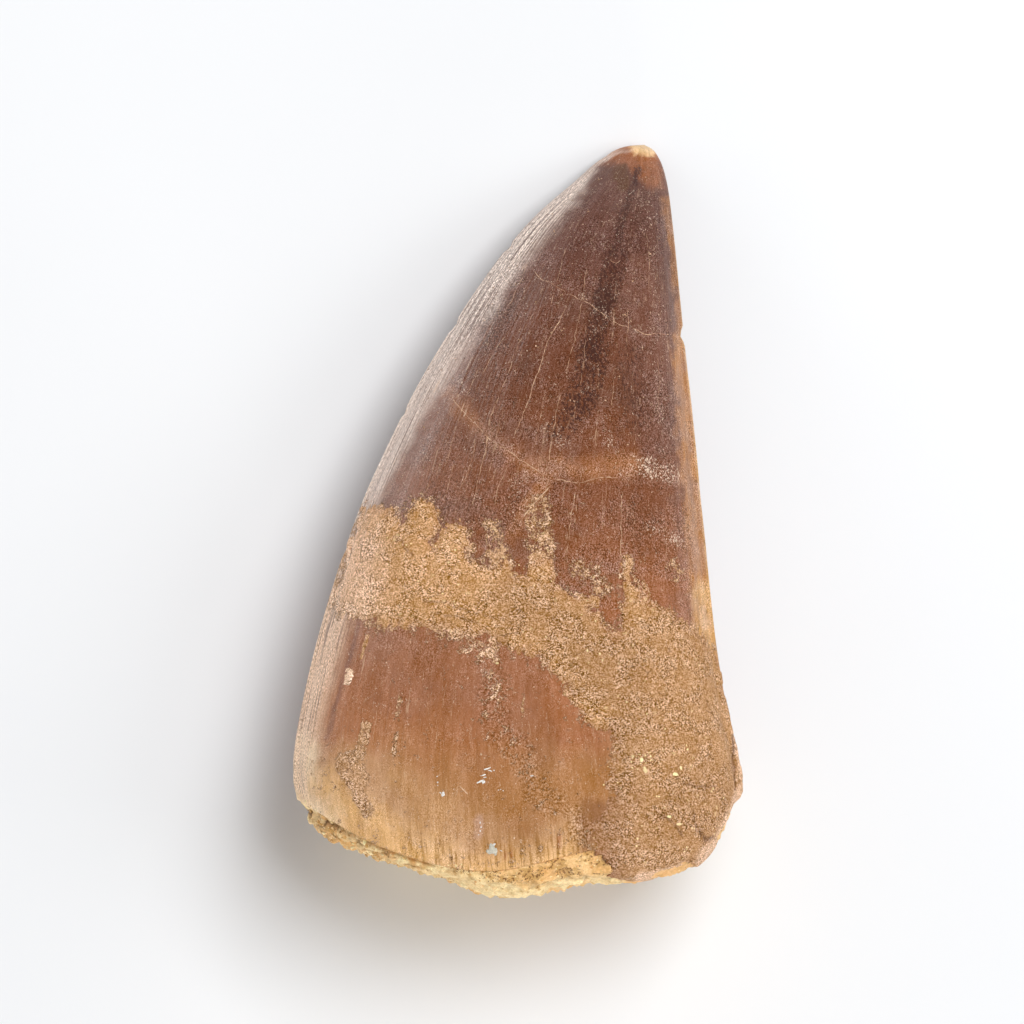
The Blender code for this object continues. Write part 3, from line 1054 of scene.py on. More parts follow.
@dataclass
class EnamelCrown:
    """The enamel crown, striated along its growth lines."""

    face_columns: int = 370
    back_columns: int = 150
    rows: int = 184
    lip: tuple[tuple[float, float], ...] = ((0.0013, 0.0016), (0.0006, 0.0001), (0.00012, -0.00003))
    base_shades: tuple[tuple[float, Shade], ...] = (
        (0, Shade.RIM_CREAM), (0.035, Shade.LOWER_TAN), (0.095, Shade.LOW_TAN), (0.21, Shade.FLANK_RED),
        (0.42, Shade.UNDER_BROWN), (0.55, Shade.MIDDLE_BROWN), (0.72, Shade.CROWN_BROWN),
        (0.865, Shade.CROWN_BROWN), (0.9, Shade.TIP_RUST), (0.94, Shade.TIP_ORANGE),
    )
    strokes: Strokes = (
        Stroke(((9.8, 19.5), (10.8, 11.5), (11.2, 6.5)), 0.9, 1.6, 0.75, Shade.CROWN_MAUVE),
        Stroke(((-0.6, 12.6), (-2.6, 8.6)), 1.6, 2.6, 0.14, Shade.STREAK_RED),
        Stroke(((-5.2, 9.9), (-3.2, 7.4), (-0.8, 5.5), (1.2, 4.3)), 0.2, 0.9, 0.5, Shade.BAND_TAN),
        Stroke(((1.4, 4.1), (4.2, 4), (9, 4.4)), 0.4, 1.05, 0.8, Shade.BAND_TAN),
        Stroke(((2.3, 2.9), (0.8, 0.9), (-0.4, -1.2)), 0.3, 0.6, 0.75, Shade.BAND_TAN),
        Stroke(((-9.3, -11.6), (-4, -12.6), (2.9, -14.6)), 1.4, 4.8, 0.7, Shade.FLANK_PURPLE),
        Stroke(((4.4, -12.7), (5.2, -17.5)), 1.2, 1.6, 0.7, Shade.FLANK_RED),
        Stroke(((-14.2, -14.5), (-12.9, -18.5)), 1, 1.6, 0.7, Shade.FLANK_RED),
        Stroke(((0.5, -23.2), (3.4, -21.4), (5.4, -20.2), (7.1, -21.6)), 1.2, 1.6, 0.8, Shade.WINDOW_TAN),
        Stroke(((11.9, 25.6), (12.45, 21.5), (12.95, 17), (13.1, 15)), 0.04, 0.6, 0.5, Shade.EDGE_ORANGE),
        Stroke(((13.35, 14.2), (13.75, 8), (14.2, 1.6), (14.6, -4.5)), 0.7, 0.6, 0.75, Shade.EDGE_ORANGE),
        Stroke(((14.9, -6), (15.2, -9.6)), 0.7, 0.9, 0.7, Shade.EDGE_CREAM),
        Stroke(((8.4, 28.9), (9.4, 28.4), (9.9, 27.6)), 0.35, 0.45, 0.8, Shade.TIP_RUST),
        Stroke(((10.3, 28.4), (10.9, 27)), 0.25, 1.00, 0.45, Shade.TIP_ORANGE),
        Stroke(((8.2, 27.6), (8.3, 26.8)), 0.45, 0.5, 0.85, Shade.TIP_OLIVE),
        Stroke(((9.6, 27.8), (9.45, 26.7)), 0.08, 0.22, 0.8, Shade.STREAK_RED),
        Stroke(((9.5, 29.7), (10.4, 29.45)), 0.16, 0.55, 0.95, Shade.TIP_CREAM),
        Stroke(((6.2, -23.6), (5.9, -26.4)), 0.6, 1.4, 0.75, Shade.GRIME_BROWN),
        # Painted highlight down the lower left flank and, palest, at its lower corner.
        Stroke(((-14.9, -6.6), (-16.2, -12), (-17.2, -18), (-17.6, -22)),
            0.5, 1.9, 0.55, Shade.FLANK_CREAM_SHEEN),
        Stroke(((-17.9, -18.4), (-17.2, -21.4), (-15.4, -23.4)), 0.9, 1.7, 0.9, Shade.HIGHLIGHT_CREAM),
        Stroke(((-13.2, -20.2), (-10.2, -21.8), (-7, -23.8)), 0.9, 2.8, 0.85, Shade.LOWER_TAN),
        Stroke(((-15.4, -21.4), (-12.8, -23.4), (-9.5, -25.4), (-6, -26.8)),
            0.3, 2.2, 0.85, Shade.RIM_CREAM),
        Stroke(((-12.6, -7.9), (-13.3, -11), (-15.2, -17.4)), 0.05, 0.22, 0.55, Shade.CROWN_MAUVE),
        Stroke(((-3.1, -23.9), (-3, -25)), 0.25, 0.25, 0.55, Shade.SCUFF_PINK),
        Stroke(((-0.95, -26.5), (-0.95, -26.95)), 0.06, 0.14, 0.6, Shade.FLANK_RED),
        Stroke(((-0.45, -26.4), (-0.42, -26.95)), 0.08, 0.14, 0.6, Shade.FLANK_RED),
        Stroke(((3.36, -25.2), (3.34, -26)), 0.08, 0.14, 0.6, Shade.FLANK_RED),
    )
    dusty: Strokes = (
        Stroke(((-2.1, -14), (-1.4, -16.6), (0.5, -18.9), (1.6, -21.8), (2.6, -22.4)), 0.7, 0.9, 0.2),
        Stroke(((-9.3, -14.2), (-9.5, -15.6)), 0.12, 0.25, 0.75),
        Stroke(((-9.6, -17), (-9.9, -18.6)), 0.1, 0.22, 0.6),
        Stroke(((0.5, -13.9), (0.4, -15.6)), 0.06, 0.2, 0.75),
        Stroke(((-12, -16.4), (-12.5, -18.6)), 0.3, 0.35, 0.8),
        Stroke(((-13.6, -19.4), (-12.6, -20.6)), 0.6, 0.6, 0.95),
        Stroke(((-12.9, -21), (-12.3, -22.6)), 0.15, 0.5, 0.7),
        Stroke(((-12.4, -22.3), (-11.9, -23.2)), 0.25, 0.6, 0.55),
        Stroke(((-16.4, -19.6), (-15, -20.8)), 0.5, 0.9, 0.25),
        Stroke(((-2.5, -11.4), (-1.2, -13.2)), 0.6, 0.8, 0.32),
        Stroke(((-2.1, -0.2), (-1.6, -2.6)), 0.55, 0.5, 0.6),
        Stroke(((1.7, 1.1), (2, -3)), 0.9, 0.5, 0.58), Stroke(((4.9, -3.9), (6.8, -5)), 0.6, 0.6, 0.55),
        Stroke(((12.2, -3.6), (12.9, -4.6)), 0.35, 0.5, 0.5),
        Stroke(((-6.2, -9), (-2.2, -10.4)), 0.5, 0.7, 0.4),
    )
    grimy: Strokes = (
        Stroke(((-2.1, -14), (-1.4, -16.6), (0.5, -18.9), (1.6, -21.8), (2.6, -22.4)), 0.8, 0.9, 0.8),
        Stroke(((4.5, -23.4), (5, -25), (6.6, -24.4)), 0.65, 0.3, 1),
        Stroke(((-2.5, -10.8), (-1.6, -12.6)), 0.6, 0.8, 0.7),
        Stroke(((-3.9, -24.6), (-3.2, -26.3)), 0.1, 0.5, 0.6),
        Stroke(((-0.6, 19.6), (-2.6, 15)), 0.9, 1.6, 0.85), Stroke(((10.8, 10), (11.2, 4)), 0.9, 1.2, 0.8),
        Stroke(((-5.4, 1.8), (-1, 1)), 1.2, 1.6, 0.8), Stroke(((9, 0.5), (12.2, -1.2)), 1.2, 1.4, 0.7),
        Stroke(((9, 24), (7, 18), (6, 12.6)), 0.9, 0.9, 0.7),
    )
    flecked: Strokes = (
        Stroke(((9.63, 27.9), (9.47, 26.74), (9.07, 25.86), (8.36, 23.79), (8.04, 22.28)),
            0.14, 0.35, 0.85),
        Stroke(((7.9, 21), (7.32, 18.7), (6.92, 17.5)), 0.6, 0.6, 1),
        Stroke(((6.92, 17.5), (6.37, 15.5), (6.05, 13.5)), 0.5, 0.5, 1),
        Stroke(((6.05, 13.5), (5.81, 11.5), (5.01, 9.5)), 0.8, 0.9, 0.62),
        Stroke(((5, 9.5), (3.4, 7.2)), 0.5, 1.2, 0.5), Stroke(((8.9, 13), (9.4, 8)), 0.5, 1.5, 0.3),
    )
    # Where the painted glints gather.
    glinting: Strokes = (
        Stroke(((10.7, 23.7), (11, 19), (11.2, 13), (11.4, 8.2)), 0.25, 0.5, 0.6),
        Stroke(((8.8, 25.6), (10.9, 25.4)), 0.5, 0.6, 0.5),
        Stroke(((7.9, 23.6), (8.4, 22.8)), 0.5, 0.5, 0.5),
        Stroke(((7.5, 18), (6.2, 15.5)), 0.5, 0.5, 0.55),
        Stroke(((1.8, 19.4), (6.1, 17), (10.1, 14.8)), 0.15, 0.4, 0.55),
        Stroke(((9.7, 4.5), (12.2, 3.6)), 0.6, 0.5, 1.3), Stroke(((12, 6.5), (11.8, 5.2)), 0.2, 0.5, 0.6),
        Stroke(((7.4, 6.4), (7.7, 5.5)), 0.35, 0.4, 1), Stroke(((10.2, 4), (11.8, 3.4)), 0.3, 0.4, 0.5),
        Stroke(((2.4, 7.4), (3.6, 6.2)), 0.5, 0.5, 1),
        Stroke(((10.6, -0.4), (12.9, -1.9)), 0.35, 0.5, 1.2),
        Stroke(((-3.8, 3.8), (-2.9, 1.6)), 0.5, 0.9, 0.45),
        Stroke(((-0.9, 5.4), (0.2, 3.6), (-0.2, 0.6)), 0.4, 0.7, 0.55),
        Stroke(((-5, 11.2), (-4.2, 10.4)), 0.3, 0.5, 0.6),
        Stroke(((-2.8, -11.4), (-1.8, -12.8)), 0.4, 0.6, 0.8),
    )
    veil: float = 0.024
    flank_reach: Path = (
        (-24, 1.3), (-18, 1.8), (-13, 2.3), (-8, 2.5), (0, 1.5), (4.4, 1.7), (8.4, 2), (12.3, 2.45),
        (16.3, 2.45), (20.3, 2.45), (23.7, 2.1), (26.7, 1.1), (28.2, 0.6), (30, 0.3),
    )
    # How strongly the left flank is painted with its highlight, by height on the plan.
    highlight_strength: Path = (
        (-24, 0.85), (-14, 0.88), (0, 0.88), (12, 0.8), (20, 0.93), (26, 0.95), (30, 0.6),
    )
    coarseness: Path = (
        (-28, 0.36), (-11, 0.5), (-6, 0.95), (8, 1), (20, 0.95), (25.5, 0.8), (27.5, 0.35), (30, 0.3),
    )
    mattness: Path = ((-28, 0.25), (-8, 0.16), (4, 0.04), (30, 0))
    nicks: tuple[tuple[float, float, float, float], ...] = (
        (-0.6, 21.7, 0.55, 0.16), (-5.1, 15.6, 0.6, 0.18), (13.3, 14.7, 0.7, 0.28), (-9, 8.6, 0.6, 0.12),
        (-13.6, -2.2, 0.7, 0.12),
    )
    ridge_crowding: tuple[float, float] = (1.6, 0.0011)
    tip_crowding: float = 1.35
    rim_crowding: float = 0.035
    map_level: float = 0.42
    rib_height: float = 0.014
    line_height: float = 0.008
    flank_line_height: float = 0.01
    facet_height: float = 0.085
    wave_height: float = 0.045
    waves: Lumps = Lumps(170.0)
    tone_wander: Lumps = Lumps(210.0, 2)
    stroke_bends: tuple[Lumps, Lumps] = (Lumps(700.0, 3, 0.7), Lumps(700.0, 3, 0.7, 40.0))
    stroke_wear: Lumps = Lumps(520.0, 3, 0.7, 9.0)
    back_tone: float = 0.6
    ridge_tone: float = 0.75
    ridge_line: float = 0.028
    halo: float = 0.6
    halo_edge: Ramp = (-0.9, 0.3)
    halo_low_end: Ramp = (21.0, 23.5)
    rim_dust: float = 0.2
    flank_wander: Lumps = Lumps(900.0)
    core_rise: float = 0.003

    def columns(self) -> Array:
        """Turn of each column, closer together beside the cutting ridges."""
        fine = np.linspace(0.0, math.pi, 4001)
        crowding, reach = self.ridge_crowding
        turns = []
        for count, start in ((self.face_columns, 0.0), (self.back_columns, math.pi)):
            ring = FORM.crown(np.full_like(fine, 0.35), fine + start)
            gaps = np.linalg.norm(np.diff(ring, axis=0), axis=-1)
            along = np.concatenate(([0.0], np.cumsum(gaps)))
            from_ridge = np.minimum(along, along[-1] - along)
            weight = 1 + crowding * np.exp(-((from_ridge / reach) ** 2))
            count_up = np.concatenate(([0.0], np.cumsum(gaps * (weight[1:] + weight[:-1]) / 2)))
            wanted = np.linspace(0.0, count_up[-1], count + 1)[:-1]
            turns.append(np.interp(wanted, count_up, fine) + start)
        return np.concatenate((*turns, [2 * math.pi]))

    def shares(self) -> Array:
        """Place of each ring along the crown, closer together at the rim and the tip."""
        even = np.linspace(0.0, 1.0, self.rows)
        body = 1 - (1 - even) ** self.tip_crowding
        return body - self.rim_crowding * np.sin(2 * math.pi * body) * (1 - body)

    def growth_place(self, points: Array) -> tuple[Array, Array]:
        """Where each point lies on the growth lines.

        Args:
            points: the crown's rings.

        Returns:
            The place on the Growth map, in decimetres across at mid-length and along, and the girth
            against mid-length.
        """
        across = run_length(points[int(self.map_level * len(points))])
        along = run_length(points[:, self.face_columns // 2])
        rings = np.linalg.norm(np.diff(points, axis=1), axis=-1).sum(axis=1)
        girth = np.broadcast_to((rings / across[-1])[:, None], points.shape[:2])
        u = np.broadcast_to(across[None, :], points.shape[:2])
        v = np.broadcast_to(along[:, None], points.shape[:2])
        return np.stack((u, v), axis=-1) * 10.0, girth

    def relief(self, points: Array, normals: Array, growth: Array, girth: Array, share: Array) -> Array:
        """How far the enamel stands out of its smooth form, in metres."""
        u, v = growth[..., 0] * 100, growth[..., 1] * 100
        ribs = NOISE.layered(line_points(u * 1.5, v * 0.055), 2)
        fine = NOISE.smooth(line_points(u * 4.2, v * 0.11, 3.0))
        facets = NOISE.smooth(line_points(u * 0.3, v * 0.022, 9.0))
        slim = np.clip(girth, 0.15, 1.4)
        from_end = smoothstep(share, 0.0, 0.05) * (1 - smoothstep(share, 0.9, 0.97))
        flank = 1 - smoothstep(np.abs(normals[..., 2]), 0.25, 0.75)
        ribbed = self.rib_height * (1 - 0.5 * flank) * ribs
        lined = (self.line_height + self.flank_line_height * flank) * fine
        raised = (ribbed + lined) * slim
        raised += self.facet_height * facets * slim + self.wave_height * self.waves.at(points)
        return raised * from_end * MM

    def painted(self, plan: Array, points: Array, share: Array, front: Array) -> Array:
        """The colour of each point, before its streaks and dust."""
        places = [place for place, _ in self.base_shades]
        tones = np.array([linear(shade) for _, shade in self.base_shades])
        wander = 0.02 * self.tone_wander.at(points)
        at = share + wander * smoothstep(share, 0.0, 0.1) * (1 - smoothstep(share, 0.9, 0.97))
        tone = np.stack([np.interp(at, places, tones[:, k]) for k in range(4)], axis=-1)
        bends = np.stack([bend.at(points) for bend in self.stroke_bends], axis=-1)
        worn = np.clip(0.95 + 0.35 * self.stroke_wear.at(points), 0.0, 1.15)
        for stroke in self.strokes:
            weight = stroke.weight(plan + min(0.3, 0.6 * stroke.soft) * bends)
            tone = painted_over(tone, linear(stroke.shade), np.minimum(weight * worn, 1.0) * front)
        behind = (1 - front) * smoothstep(share, 0.02, 0.2) * (1 - smoothstep(share, 0.9, 0.97))
        return painted_over(tone, linear(Shade.BACK_BROWN), self.back_tone * behind)

    def flank_highlight_band(self, plan: Array, points: Array, share: Array, angle: Array) -> Array:
        """How strongly the painted highlight covers the left flank at each point."""
        left = smooth_curve(FORM.left_edge + (FORM.tip,), share)
        run = unit(np.gradient(left, axis=0))
        off = points[..., :2] - left
        from_left = np.abs(off[..., 0] * run[..., 1] - off[..., 1] * run[..., 0]) / MM
        reach = profile(self.flank_reach, plan[..., 1])
        band = 1 - smoothstep(from_left + 0.3 * self.flank_wander.at(points), 0.35 * reach, 1.15 * reach)
        band = band * (smoothstep(np.sin(angle), -0.45, -0.05) * smoothstep(share, 0.0, 0.04))
        return band * profile(self.highlight_strength, plan[..., 1]) * (1 - smoothstep(share, 0.915, 0.96))

    def marked(
        self, plan: Array, points: Array, share: Array, angle: Array, crust_outline: Path
    ) -> dict[str, Array]:
        """The marks that the finish reads.

        Args:
            plan: where each point shows on the plan.
            points: the crown's rings.
            share: 0 at the rim, 1 at the tip.
            angle: turn of each point round the section.
            crust_outline: outline of the sand on the plan.

        Returns:
            The marks by name.
        """
        front = smoothstep(np.sin(angle), -0.08, 0.04)
        # A thin pale line along the cutting ridges: their own cream, and on the left a painted highlight in
        # a lighter cream.
        ridge = np.exp(-((np.sin(angle) / self.ridge_line) ** 2)) * smoothstep(share, 0.1, 0.3)
        edge = np.where(np.cos(angle)[..., None] > 0, linear(Shade.HIGHLIGHT_CREAM), linear(Shade.EDGE_CREAM))
        tone = painted_over(self.painted(plan, points, share, front), edge, self.ridge_tone * ridge)
        tone[..., :3] = np.maximum(tone[..., :3] - self.veil, 0.004)
        halo = self.halo * smoothstep(depth_inside(plan, crust_outline), *self.halo_edge)
        halo = halo * (1 - 0.7 * smoothstep(-plan[..., 1], *self.halo_low_end))
        dust = (halo + covered(self.dusty, plan)) * front
        return {
            "tone": tone,
            "dust": dust + self.rim_dust * (1 - smoothstep(share, 0.0, 0.06)),
            "fleck": covered(self.flecked, plan) * front,
            "glint": covered(self.glinting, plan) * front,
            "grime": covered(self.grimy, plan) * front,
            # The share of the left flank's painted highlight.
            "flank": self.flank_highlight_band(plan, points, share, angle),
            "coarse": profile(self.coarseness, plan[..., 1]),
            "matt": profile(self.mattness, plan[..., 1]),
            "rim": (1 - smoothstep(share, 0.015, 0.075)) * front * smoothstep(plan[..., 0], -9.5, -7.5),
            "lightness": tone[..., :3].mean(axis=-1) / linear(Shade.BLOOM)[:3].mean() * 1.25,
        }

    def build(self, crust_outline: Path) -> Piece:
        """The crown as a closed mesh with its marks.

        Args:
            crust_outline: outline of the sand on the plan, round which the enamel is dusty.

        Returns:
            The piece.
        """
        turns = self.columns()
        share, angle = np.meshgrid(self.shares(), turns, indexing="ij")
        smooth = FORM.crown(share, angle)
        normals = grid_normals(smooth)
        growth, girth = self.growth_place(smooth)
        points = smooth + normals * self.relief(smooth, normals, growth, girth, share)[..., None]
        points[-1] = points[-1].mean(axis=0)
        plan = PLAN.of(points)
        for x, y, radius, depth in self.nicks:
            reach = np.linalg.norm(plan - np.array((x, y)), axis=-1)
            hit = (1 - smoothstep(reach, 0.2 * radius, radius)) * depth * MM
            points = points - normals * hit[..., None]
        marks = self.marked(plan, points, share, angle, crust_outline)
        marks |= {"girth": girth, "Growth": growth}
        rim = np.zeros_like(turns)
        inner = [FORM.root(rim, turns, step) + np.array((0.0, rise, 0.0)) for step, rise in self.lip]
        core = FORM.core()
        core[1] = points[0, :, 1].mean() + self.core_rise
        pole = np.broadcast_to(core, inner[0].shape)
        points = inside_box(np.concatenate(([pole], inner, points)))
        return loft("enamel_crown", points, repeat_first(marks, 1 + len(inner)))

    def dress(self, piece: bpy.types.Object) -> None:
        """Gives the crown its finish and its place in the model."""
        piece.data.materials.append(EnamelFinish().material())
        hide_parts("tooth")
        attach(piece, "root")


@dataclass
class RootBone:
    """The broken root, a lumpy stub below the enamel's rim."""

    columns: int = 520
    rows: int = 92
    step: float = 0.00055
    flush: float = 0.00035
    corner_flush: float = 0.00042
    chunk_shades: tuple[Shade, ...] = (
        Shade.BONE_KHAKI, Shade.BONE_CREAM, Shade.BONE_OLIVE, Shade.BONE_KHAKI, Shade.BONE_ORANGE,
        Shade.BONE_HONEY,
    )
    groove: float = 0.35
    crumbled: Strokes = (
        Stroke(((-17.8, -22), (-15.5, -24.4), (-12, -26.2), (-9, -27.2)), 1, 1.4, 0.8),
        Stroke(((-16, -26), (-10, -28.5)), 1.5, 2, 0.6),
        Stroke(((-7, -28.2), (2, -28.4), (8, -27.6)), 1, 1.4, 0.34),
    )
    stained: Strokes = (
        Stroke(((-4.6, -27.8), (1, -28.1), (4, -27.7)), 0.45, 0.6, 1),
        Stroke(((2, -27.9), (4.5, -27.6), (8.5, -27)), 0.7, 0.7, 1),
        Stroke(((0, -28.6), (1.4, -29.3)), 0.3, 0.6, 0.8),
        Stroke(((-15.4, -23.6), (-14.6, -24.6)), 0.4, 0.6, 0.9),
        Stroke(((-11.6, -25.4), (-10.4, -26.2)), 0.2, 0.5, 0.7),
        Stroke(((14, -28), (17, -24)), 0.5, 0.8, 0.5),
    )
    shade_spots: Strokes = (
        Stroke(((-15, -24.2), (-14.2, -24.9)), 0.3, 0.7, 0.7, Shade.BONE_HONEY),
        Stroke(((0.5, -28.6), (2, -28.4)), 0.4, 0.8, 0.5, Shade.BONE_HONEY),
        Stroke(((2.6, -27.4), (4.5, -27.3), (8, -27)), 0.9, 0.6, 0.85, Shade.BONE_ORANGE),
        Stroke(((-1.4, -28), (1, -28.2)), 0.5, 0.5, 0.65, Shade.BONE_ORANGE),
        Stroke(((9.5, -28.4), (14.5, -27.2)), 0.8, 0.8, 0.9, Shade.BONE_ORANGE),
        Stroke(((15.5, -25), (18, -22)), 0.8, 1.5, 0.6, Shade.BONE_ORANGE),
    )
    turn_crowding: float = 0.45
    rim_crowding: float = 1.6
    lumps: Lumps = Lumps(420.0, 3, 0.55)
    lump_height: float = 0.2
    ragged: Lumps = Lumps(1100.0, 2, 0.7, 7.0)
    ragged_height: float = 0.16
    crumbs_to_metre: float = 2100.0
    crumb_height: float = 0.1
    chunks_to_metre: float = 1250.0
    chunk_height: float = 0.85
    end_wander: Lumps = Lumps(260.0, 3, 0.6, 31.0)
    end_pits: Lumps = Lumps(240.0, 3, 0.6, 21.0)
    stain_patches: Lumps = Lumps(900.0, 3, 0.7, 5.0)
    groove_place: float = 0.012
    hidden_rings: tuple[float, float] = (0.0024, 0.0008)
    hidden_step: float = 0.0004
    core_rise: float = 0.005

    def toned(self, plan: Array, broken: Array, chunk: Array, which: Array) -> Array:
        """The bone's colour, with painted shade in the crevices between its chunks.

        Args:
            plan: where each point shows on the plan.
            broken: how crumbled the bone is there.
            chunk: distance to the middle of the nearest chunk.
            which: that chunk's own number, from 0 to 1.

        Returns:
            The colour of each point.
        """
        tone = shaded(Shade.BONE_CREAM, plan)
        for stroke in self.shade_spots:
            tone = painted_over(tone, linear(stroke.shade), stroke.weight(plan))
        shades = np.array([linear(shade) for shade in self.chunk_shades])
        picked = shades[(which * len(shades)).astype(int) % len(shades)]
        tone = painted_over(tone, picked, 0.8 * broken)
        # Painted shade in the crevices between the chunks.
        gaps = 0.85 * smoothstep(chunk, 0.55, 0.8) * broken
        return painted_over(tone, linear(Shade.BONE_DARK), gaps)

    def build(self) -> Piece:
        """The root as a closed mesh with its marks."""
        turns = crowded(np.linspace(0.0, 2 * math.pi, self.columns + 1), self.turn_crowding)
        depths = np.linspace(0.0, 1.0, self.rows) ** self.rim_crowding
        depth, angle = np.meshgrid(depths, turns, indexing="ij")
        middle = smoothstep(np.sin(angle), 0.55, 0.85)
        corner = smoothstep(np.cos(angle), 0.55, 0.95)
        smooth = FORM.root(depth, angle, self.step - self.flush * middle - self.corner_flush * corner)
        inside = smoothstep(depth, 0.1, 0.4)
        plan = PLAN.of(smooth) + (inside * 1.6 * self.end_wander.at(smooth))[..., None]
        pitted = 0.8 * smoothstep(self.end_pits.at(smooth), 0.0, 0.5) * inside
        broken = np.minimum(covered(self.crumbled, plan) + pitted, 1.0)
        lumps = self.lumps.at(smooth)
        near, own = NOISE.grains(smooth * self.crumbs_to_metre)
        crumbs = (0.55 - near) * (0.6 + 0.8 * own)
        chunk, which = NOISE.grains(smooth * self.chunks_to_metre + 0.3 * lumps[..., None])
        out = self.lump_height * lumps + self.crumb_height * (crumbs - 0.15)
        out = out + self.ragged_height * self.ragged.at(smooth)
        out = out + broken * (self.chunk_height * (0.28 - chunk**2) + 0.15 * crumbs)
        groove = np.exp(-(((depth - self.groove_place) / self.groove_place) ** 2))
        groove = self.groove * groove * (0.1 + broken)
        height = (out * smoothstep(depth, 0.0, 0.03) - groove) * MM
        points = smooth + grid_normals(smooth) * height[..., None]
        patches = smoothstep(self.stain_patches.at(smooth), -0.25, 0.25)
        stain = np.minimum(covered(self.stained, plan) * patches, 1.0)
        inner = FORM.root(np.zeros_like(turns), turns, self.step + self.hidden_step)
        rings = [inner + np.array((0.0, rise, 0.0)) for rise in self.hidden_rings]
        core = FORM.core()
        core[1] = inner[:, 1].mean() + self.core_rise
        points = np.concatenate(([np.broadcast_to(core, inner.shape)], rings, points))
        points[-1] = points[-1].mean(axis=0)
        marks = {"tone": self.toned(plan, broken, chunk, which), "stain": stain}
        return loft("root_bone", inside_box(points), repeat_first(marks, 1 + len(rings)))

    def dress(self, piece: bpy.types.Object) -> None:
        """Gives the bone its finish and its place in the model."""
        piece.data.materials.append(BoneFinish().material())
        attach(piece, "root")


